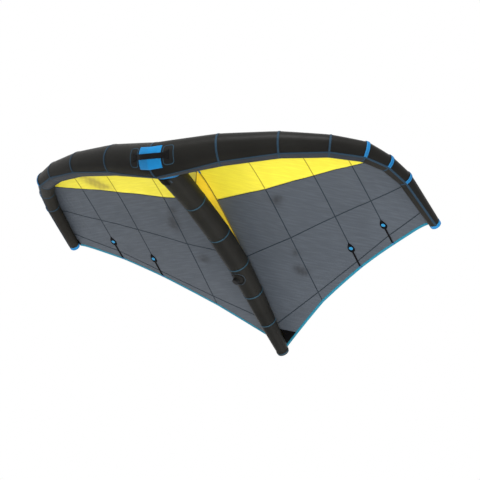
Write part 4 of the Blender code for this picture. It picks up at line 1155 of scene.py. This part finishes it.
def outline_cord(name, start, end, low, high, corner, lift, radius, material):
    """Raised stitched line round a patch's rim."""
    margin = 0.0028
    mid_x, half_x = (start + end) / 2, abs(end - start) / 2 - margin
    mid_a = (low + high) / 2
    half_a = radians(high - low) / 2 * NOSE_DIAMETER / 2 - margin
    path = []
    for quarter, (sx, sy) in enumerate(((1, 1), (-1, 1), (-1, -1), (1, -1))):
        for i in range(9):
            turn = pi / 2 * (quarter + i / 8)
            path.append((sx * (half_x - corner) + corner * cos(turn), sy * (half_a - corner) + corner * sin(turn)))
    path = np.array(path + path[:1])
    dense = np.concatenate([np.linspace(p, q, 6, endpoint=False) for p, q in zip(path, path[1:])])
    station = (mid_x + dense[:, 0]) / EDGE.lengths[TIP]
    angle = mid_a + np.degrees(dense[:, 1] / (NOSE_DIAMETER / 2))
    line = EDGE.at(station, angle, lift)
    out = EDGE.at(station, angle, lift + 0.01) - line
    out /= np.linalg.norm(out, axis=1)[:, None]
    way = np.roll(line, -1, 0) - np.roll(line, 1, 0)
    side = np.cross(way, out)
    side /= np.linalg.norm(side, axis=1)[:, None]
    turn = np.arange(8) * pi / 4
    grid = line[:, None] + side[:, None] * (np.cos(turn) * radius * 1.6)[None, :, None] \
        + out[:, None] * (np.sin(turn) * radius * 0.6)[None, :, None]
    run = np.concatenate([[0], np.cumsum(np.linalg.norm(np.diff(line, axis=0), axis=1))])
    uv = np.stack(np.meshgrid(run, np.cos(turn) * radius, indexing="ij"), -1)
    rows, columns = grid.shape[:2]
    faces = grid_faces(rows, columns, wrap_rows=True, wrap_columns=True)
    piece = add_mesh(name, grid.reshape(-1, 3), faces, uv.reshape(-1, 2), material)
    turn_out(piece)
    return piece


def build_handle():
    """Front handle: padding, anchors with stitched outlines, and the strap."""
    pad = wrap_patch("handle_padding", -PAD_HALF, PAD_HALF, 197, 273, 0.0020, 0.0026, MATERIALS["pad"],
                     crown=0.0035, rows=60, columns=50)
    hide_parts("handle_pad")
    for side, label in ((-1, "left"), (1, "right")):
        start, end = sorted((side * 0.0835, side * 0.148))
        anchor = rounded_patch(f"anchor_{label}", start, end, 203, 270, 0.020, 0.0013, 0.0020,
                               MATERIALS["anchor"])
        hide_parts(f"handle_anchor_{label}")
        outline_cord(f"anchor_line_{label}", start, end, 203, 270, 0.019, 0.0026, 0.0016, MATERIALS["outline"])
    build_strap()


STRAP_HALF = 0.0165
STRAP_FLARE = 0.75          # how much wider the strap's sewn ends get


def build_strap():
    """Webbing strap over the padding, arched off the tube in its middle, with widening sewn ends."""
    turn = radians(HANDLE_ANGLE)
    outward = np.array((0, sin(turn), cos(turn)))
    across = np.array((0, cos(turn), -sin(turn)))
    half, free, root = 0.122, 0.092, 0.00435
    length = EDGE.lengths[TIP]
    end = EDGE.at(free / length, HANDLE_ANGLE, root)
    crest = EDGE.at(0.0, HANDLE_ANGLE, 0.036)
    rise = crest - np.array((0, end[1], end[2]))
    x = np.linspace(-half, half, 121)
    centre = []
    for value in x:
        share = abs(value) / free
        if share < 1:
            centre.append(np.array((value, end[1], end[2])) + rise * (1 - share ** 3) ** 2)
        else:
            centre.append(EDGE.at(value / length, HANDLE_ANGLE, root))
    centre = np.array(centre)
    run = run_lengths(centre[:, None])
    flare = 1 + STRAP_FLARE * np.clip((np.abs(x) - free) / (half - free), 0, 1)
    offsets = np.linspace(-1, 1, 13) * STRAP_HALF * flare[:, None]

    def surface(t):
        return centre[:, None] + across * offsets[..., None] + outward * t[..., None]

    uv = np.stack([np.repeat(run[:, None], 13, 1), offsets], -1)
    strap = slab("strap_webbing", surface, 0.0030, uv, MATERIALS["webbing"], crown=0.0004)
    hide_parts("handle_strap")


def valve_frame():
    """Seat of the valve on the strut: centre, run, sideways and outward directions."""
    station, angle = 3.325, 163
    seat = STRUT.at(station, angle)
    ahead = STRUT.at(station + 0.1, angle)
    k, part = STRUT.split(station)
    core = STRUT.centres[k] + (STRUT.centres[k + 1] - STRUT.centres[k]) * part
    out = seat - core
    run = (ahead - seat) / np.linalg.norm(ahead - seat)
    out = out - run * (out @ run)
    out /= np.linalg.norm(out)
    return station, angle, seat, run, np.cross(out, run), out


RIM_STATION = 3.285         # middle of the patch's round outline
RIM_ANGLE = 172


def build_valve():
    """Sewn patch round the valve; the moulded pieces keep their solids."""
    station, angle, seat, run, across, out = valve_frame()
    span = STRUT.lengths[int(station)]
    radius = STRUT_DIAMETER / 2 * np.interp(station, range(TAIL + 1), STRUT_DIAMETER_SHARES)
    turn = np.arange(64) * 2 * pi / 64
    reach = np.linspace(0.0156, 0.056, 14)
    r, t = np.meshgrid(reach, turn, indexing="ij")
    drift = (r - reach[0]) / (reach[-1] - reach[0])
    s = station + (RIM_STATION - station) * drift + r * np.cos(t) / span
    a = angle + (RIM_ANGLE - angle) * drift + np.degrees(r * np.sin(t) / radius)
    top = STRUT.at(s, a, 0.0013)
    low = STRUT.at(s, a, 0.0004)
    grid = np.concatenate([top, low[::-1]])
    uv = np.concatenate([np.stack([t * r, r - 0.043], -1), np.stack([t * r, r - 0.043], -1)[::-1]])
    rows, columns = grid.shape[:2]
    faces = grid_faces(rows, columns, wrap_rows=True, wrap_columns=True)
    patch = add_mesh("valve_seat_patch", grid.reshape(-1, 3), faces, uv.reshape(-1, 2), MATERIALS["strut"])
    turn_out(patch)
    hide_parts("valve_patch")
    for name, middle, width, key, slot in (("valve_outline", 0.0510, 0.0042, "valve_line", "bright_blue"),
                                           ("valve_welt", 0.0410, 0.0060, "patch", "black_webbing")):
        r, t = np.meshgrid(middle + np.linspace(-0.5, 0.5, 5) * width, turn, indexing="ij")
        s = RIM_STATION + r * np.cos(t) / span
        a = RIM_ANGLE + np.degrees(r * np.sin(t) / radius)
        lift = 0.0016 + 0.0007 * np.cos(pi * (r - middle) / width)
        grid = np.concatenate([STRUT.at(s, a, lift), STRUT.at(s, a, 0.0010)[::-1]])
        uv = np.concatenate([np.stack([t * middle, r - middle], -1)] * 2)
        rows, columns = grid.shape[:2]
        faces = grid_faces(rows, columns, wrap_rows=True, wrap_columns=True)
        ring = add_mesh(name, grid.reshape(-1, 3), faces, uv.reshape(-1, 2), MATERIALS[key])
        turn_out(ring)


NODE_MATERIALS = {
    "leading_edge_bladder": "film", "strut_bladder": "film", "one_pump_hose": "rubber",
    "hose_clamp_front": "plastic", "hose_clamp_rear": "plastic",
    "strut_tail_cap": "strut", "valve_body": "plastic", "valve_cap": "plastic", "valve_hinge_pin": "rod",
    "valve_plunger": "rubber",
}


def dress_nodes():
    """Materials for the solids that stay in view or lie hidden inside."""
    for node, key in NODE_MATERIALS.items():
        piece = frame["nodes"][node]
        piece.data.materials.clear()
        piece.data.materials.append(MATERIALS[key])
        if not piece.data.uv_layers:
            layer = piece.data.uv_layers.new(name="cloth")
            co = np.array([v.co for v in piece.data.vertices])
            loops = np.empty(len(piece.data.loops), int)
            piece.data.loops.foreach_get("vertex_index", loops)
            layer.data.foreach_set("uv", co[loops][:, :2].ravel())


# Stage, light and camera

FLOOR_SIZE = 14             # half of the floor's side
FLOOR_FADE = (2.4, 6.0)     # distances from the middle over which the floor turns white


def floor():
    """Pale floor that fades into the white background; a low camera looks through it from below."""
    g = Graph("floor")
    speck = g.noise(40.0, 3.0)
    g.finish(g.mix(speck, (0.80, 0.80, 0.80), (0.84, 0.84, 0.84)), 0.9, specular=0.2)
    path = g.node("ShaderNodeLightPath")
    behind = g.node("ShaderNodeNewGeometry").outputs["Backfacing"]
    clear = g.math("MAXIMUM", behind, path.outputs["Is Shadow Ray"])
    clear = g.math("MAXIMUM", clear, path.outputs["Is Diffuse Ray"])
    seen = g.math("MAXIMUM", path.outputs["Is Camera Ray"], path.outputs["Is Glossy Ray"])
    seen = g.math("MAXIMUM", seen, path.outputs["Is Transmission Ray"])
    away = g.node("ShaderNodeVectorMath", {0: g.place}, operation="LENGTH").outputs["Value"]
    far = g.math("MULTIPLY", g.fade(away, *FLOOR_FADE), seen)
    white = g.node("ShaderNodeEmission", {"Color": (1.0, 1.0, 1.0), "Strength": 1.0})
    ground = g.node("ShaderNodeMixShader", {0: far, 1: g.shader.outputs[0], 2: white.outputs[0]})
    open_shader = g.node("ShaderNodeBsdfTransparent")
    mixed = g.node("ShaderNodeMixShader", {0: clear, 1: ground.outputs[0], 2: open_shader.outputs[0]})
    output = [n for n in g.tree.nodes if n.type == "OUTPUT_MATERIAL"][0]
    g.tree.links.new(mixed.outputs[0], output.inputs["Surface"])
    mesh = bpy.data.meshes.new("floor")
    corners = [(x * FLOOR_SIZE, y * FLOOR_SIZE, 0) for x, y in ((-1, -1), (1, -1), (1, 1), (-1, 1))]
    mesh.from_pydata(corners, [], [(0, 1, 2, 3)])
    mesh.materials.append(g.material)
    ground = bpy.data.objects.new("floor", mesh)
    ground.location.z = cad_box[0][2] - 0.001
    bpy.context.scene.collection.objects.link(ground)


def lamp(name, place, aim, size, power):
    """Soft square lamp that the camera doesn't see."""
    data = bpy.data.lights.new(name, "AREA")
    data.energy = power
    data.size = size
    made = bpy.data.objects.new(name, data)
    made.location = place
    made.rotation_euler = (Vector(aim) - Vector(place)).to_track_quat("-Z", "Y").to_euler()
    made.visible_camera = False
    bpy.context.scene.collection.objects.link(made)


def light():
    """White world for the camera, and soft light at a plain level for the object."""
    world = bpy.data.worlds.new("studio")
    bpy.context.scene.world = world
    world.use_nodes = True
    tree = world.node_tree
    tree.nodes.clear()
    path = tree.nodes.new("ShaderNodeLightPath")
    seen = path.outputs["Is Camera Ray"]
    for kind in ("Is Glossy Ray", "Is Transmission Ray"):
        either = tree.nodes.new("ShaderNodeMath")
        either.operation = "MAXIMUM"
        tree.links.new(seen, either.inputs[0])
        tree.links.new(path.outputs[kind], either.inputs[1])
        seen = either.outputs[0]
    plain = tree.nodes.new("ShaderNodeBackground")
    plain.inputs["Color"].default_value = (1, 1, 1, 1)
    plain.inputs["Strength"].default_value = WORLD_STRENGTH
    white = tree.nodes.new("ShaderNodeBackground")
    white.inputs["Color"].default_value = (1, 1, 1, 1)
    mixed = tree.nodes.new("ShaderNodeMixShader")
    output = tree.nodes.new("ShaderNodeOutputWorld")
    tree.links.new(seen, mixed.inputs[0])
    tree.links.new(plain.outputs[0], mixed.inputs[1])
    tree.links.new(white.outputs[0], mixed.inputs[2])
    tree.links.new(mixed.outputs[0], output.inputs["Surface"])
    middle = (0, 0, 0.2)
    lamp("front_key", (1.5, -10.3, 7.4), middle, 3.3, 1420)
    lamp("top_fill", (-2.0, 5.0, 12.0), middle, 9.0, 90)
    lamp("left_fill", (-6.9, -2.6, -2.0), middle, 5.0, 95)
    lamp("rear_fill", (-4.2, 4.3, -3.4), middle, 5.0, 185)
    lamp("right_fill", (6.3, -3.3, -1.9), middle, 5.0, 140)
    lamp("low_fill", (3.2, -4.0, -3.9), middle, 3.5, 185)
    lamp("strut_fill", (3.4, 4.6, -4.0), middle, 4.5, 265)


WORLD_STRENGTH = 0.46


def camera():
    """The photograph's view, from below the wing and to its front right."""
    data = bpy.data.cameras.new("photo_camera")
    data.lens = FOCAL_LENGTH
    data.sensor_width = SENSOR
    data.clip_end = 100
    made = bpy.data.objects.new("photo_camera", data)
    azimuth, elevation = radians(CAMERA_AZIMUTH), radians(CAMERA_ELEVATION)
    back = Vector((sin(azimuth) * cos(elevation), -cos(azimuth) * cos(elevation), sin(elevation)))
    aim = Vector(CAMERA_AIM) + Vector(NOSE)
    level = back.to_track_quat("Z", "Y").to_matrix()
    made.matrix_world = Matrix.Translation(aim + back * CAMERA_DISTANCE) @ level.to_4x4() \
        @ Matrix.Rotation(radians(CAMERA_ROLL), 4, "Z")
    bpy.context.scene.collection.objects.link(made)
    bpy.context.scene.camera = made


build_leading_edge()
build_strut()
build_canopy()
build_handle()
build_valve()
dress_nodes()
floor()
light()
camera()
bpy.context.scene.view_settings.view_transform = "Standard"

bpy.context.view_layer.update()
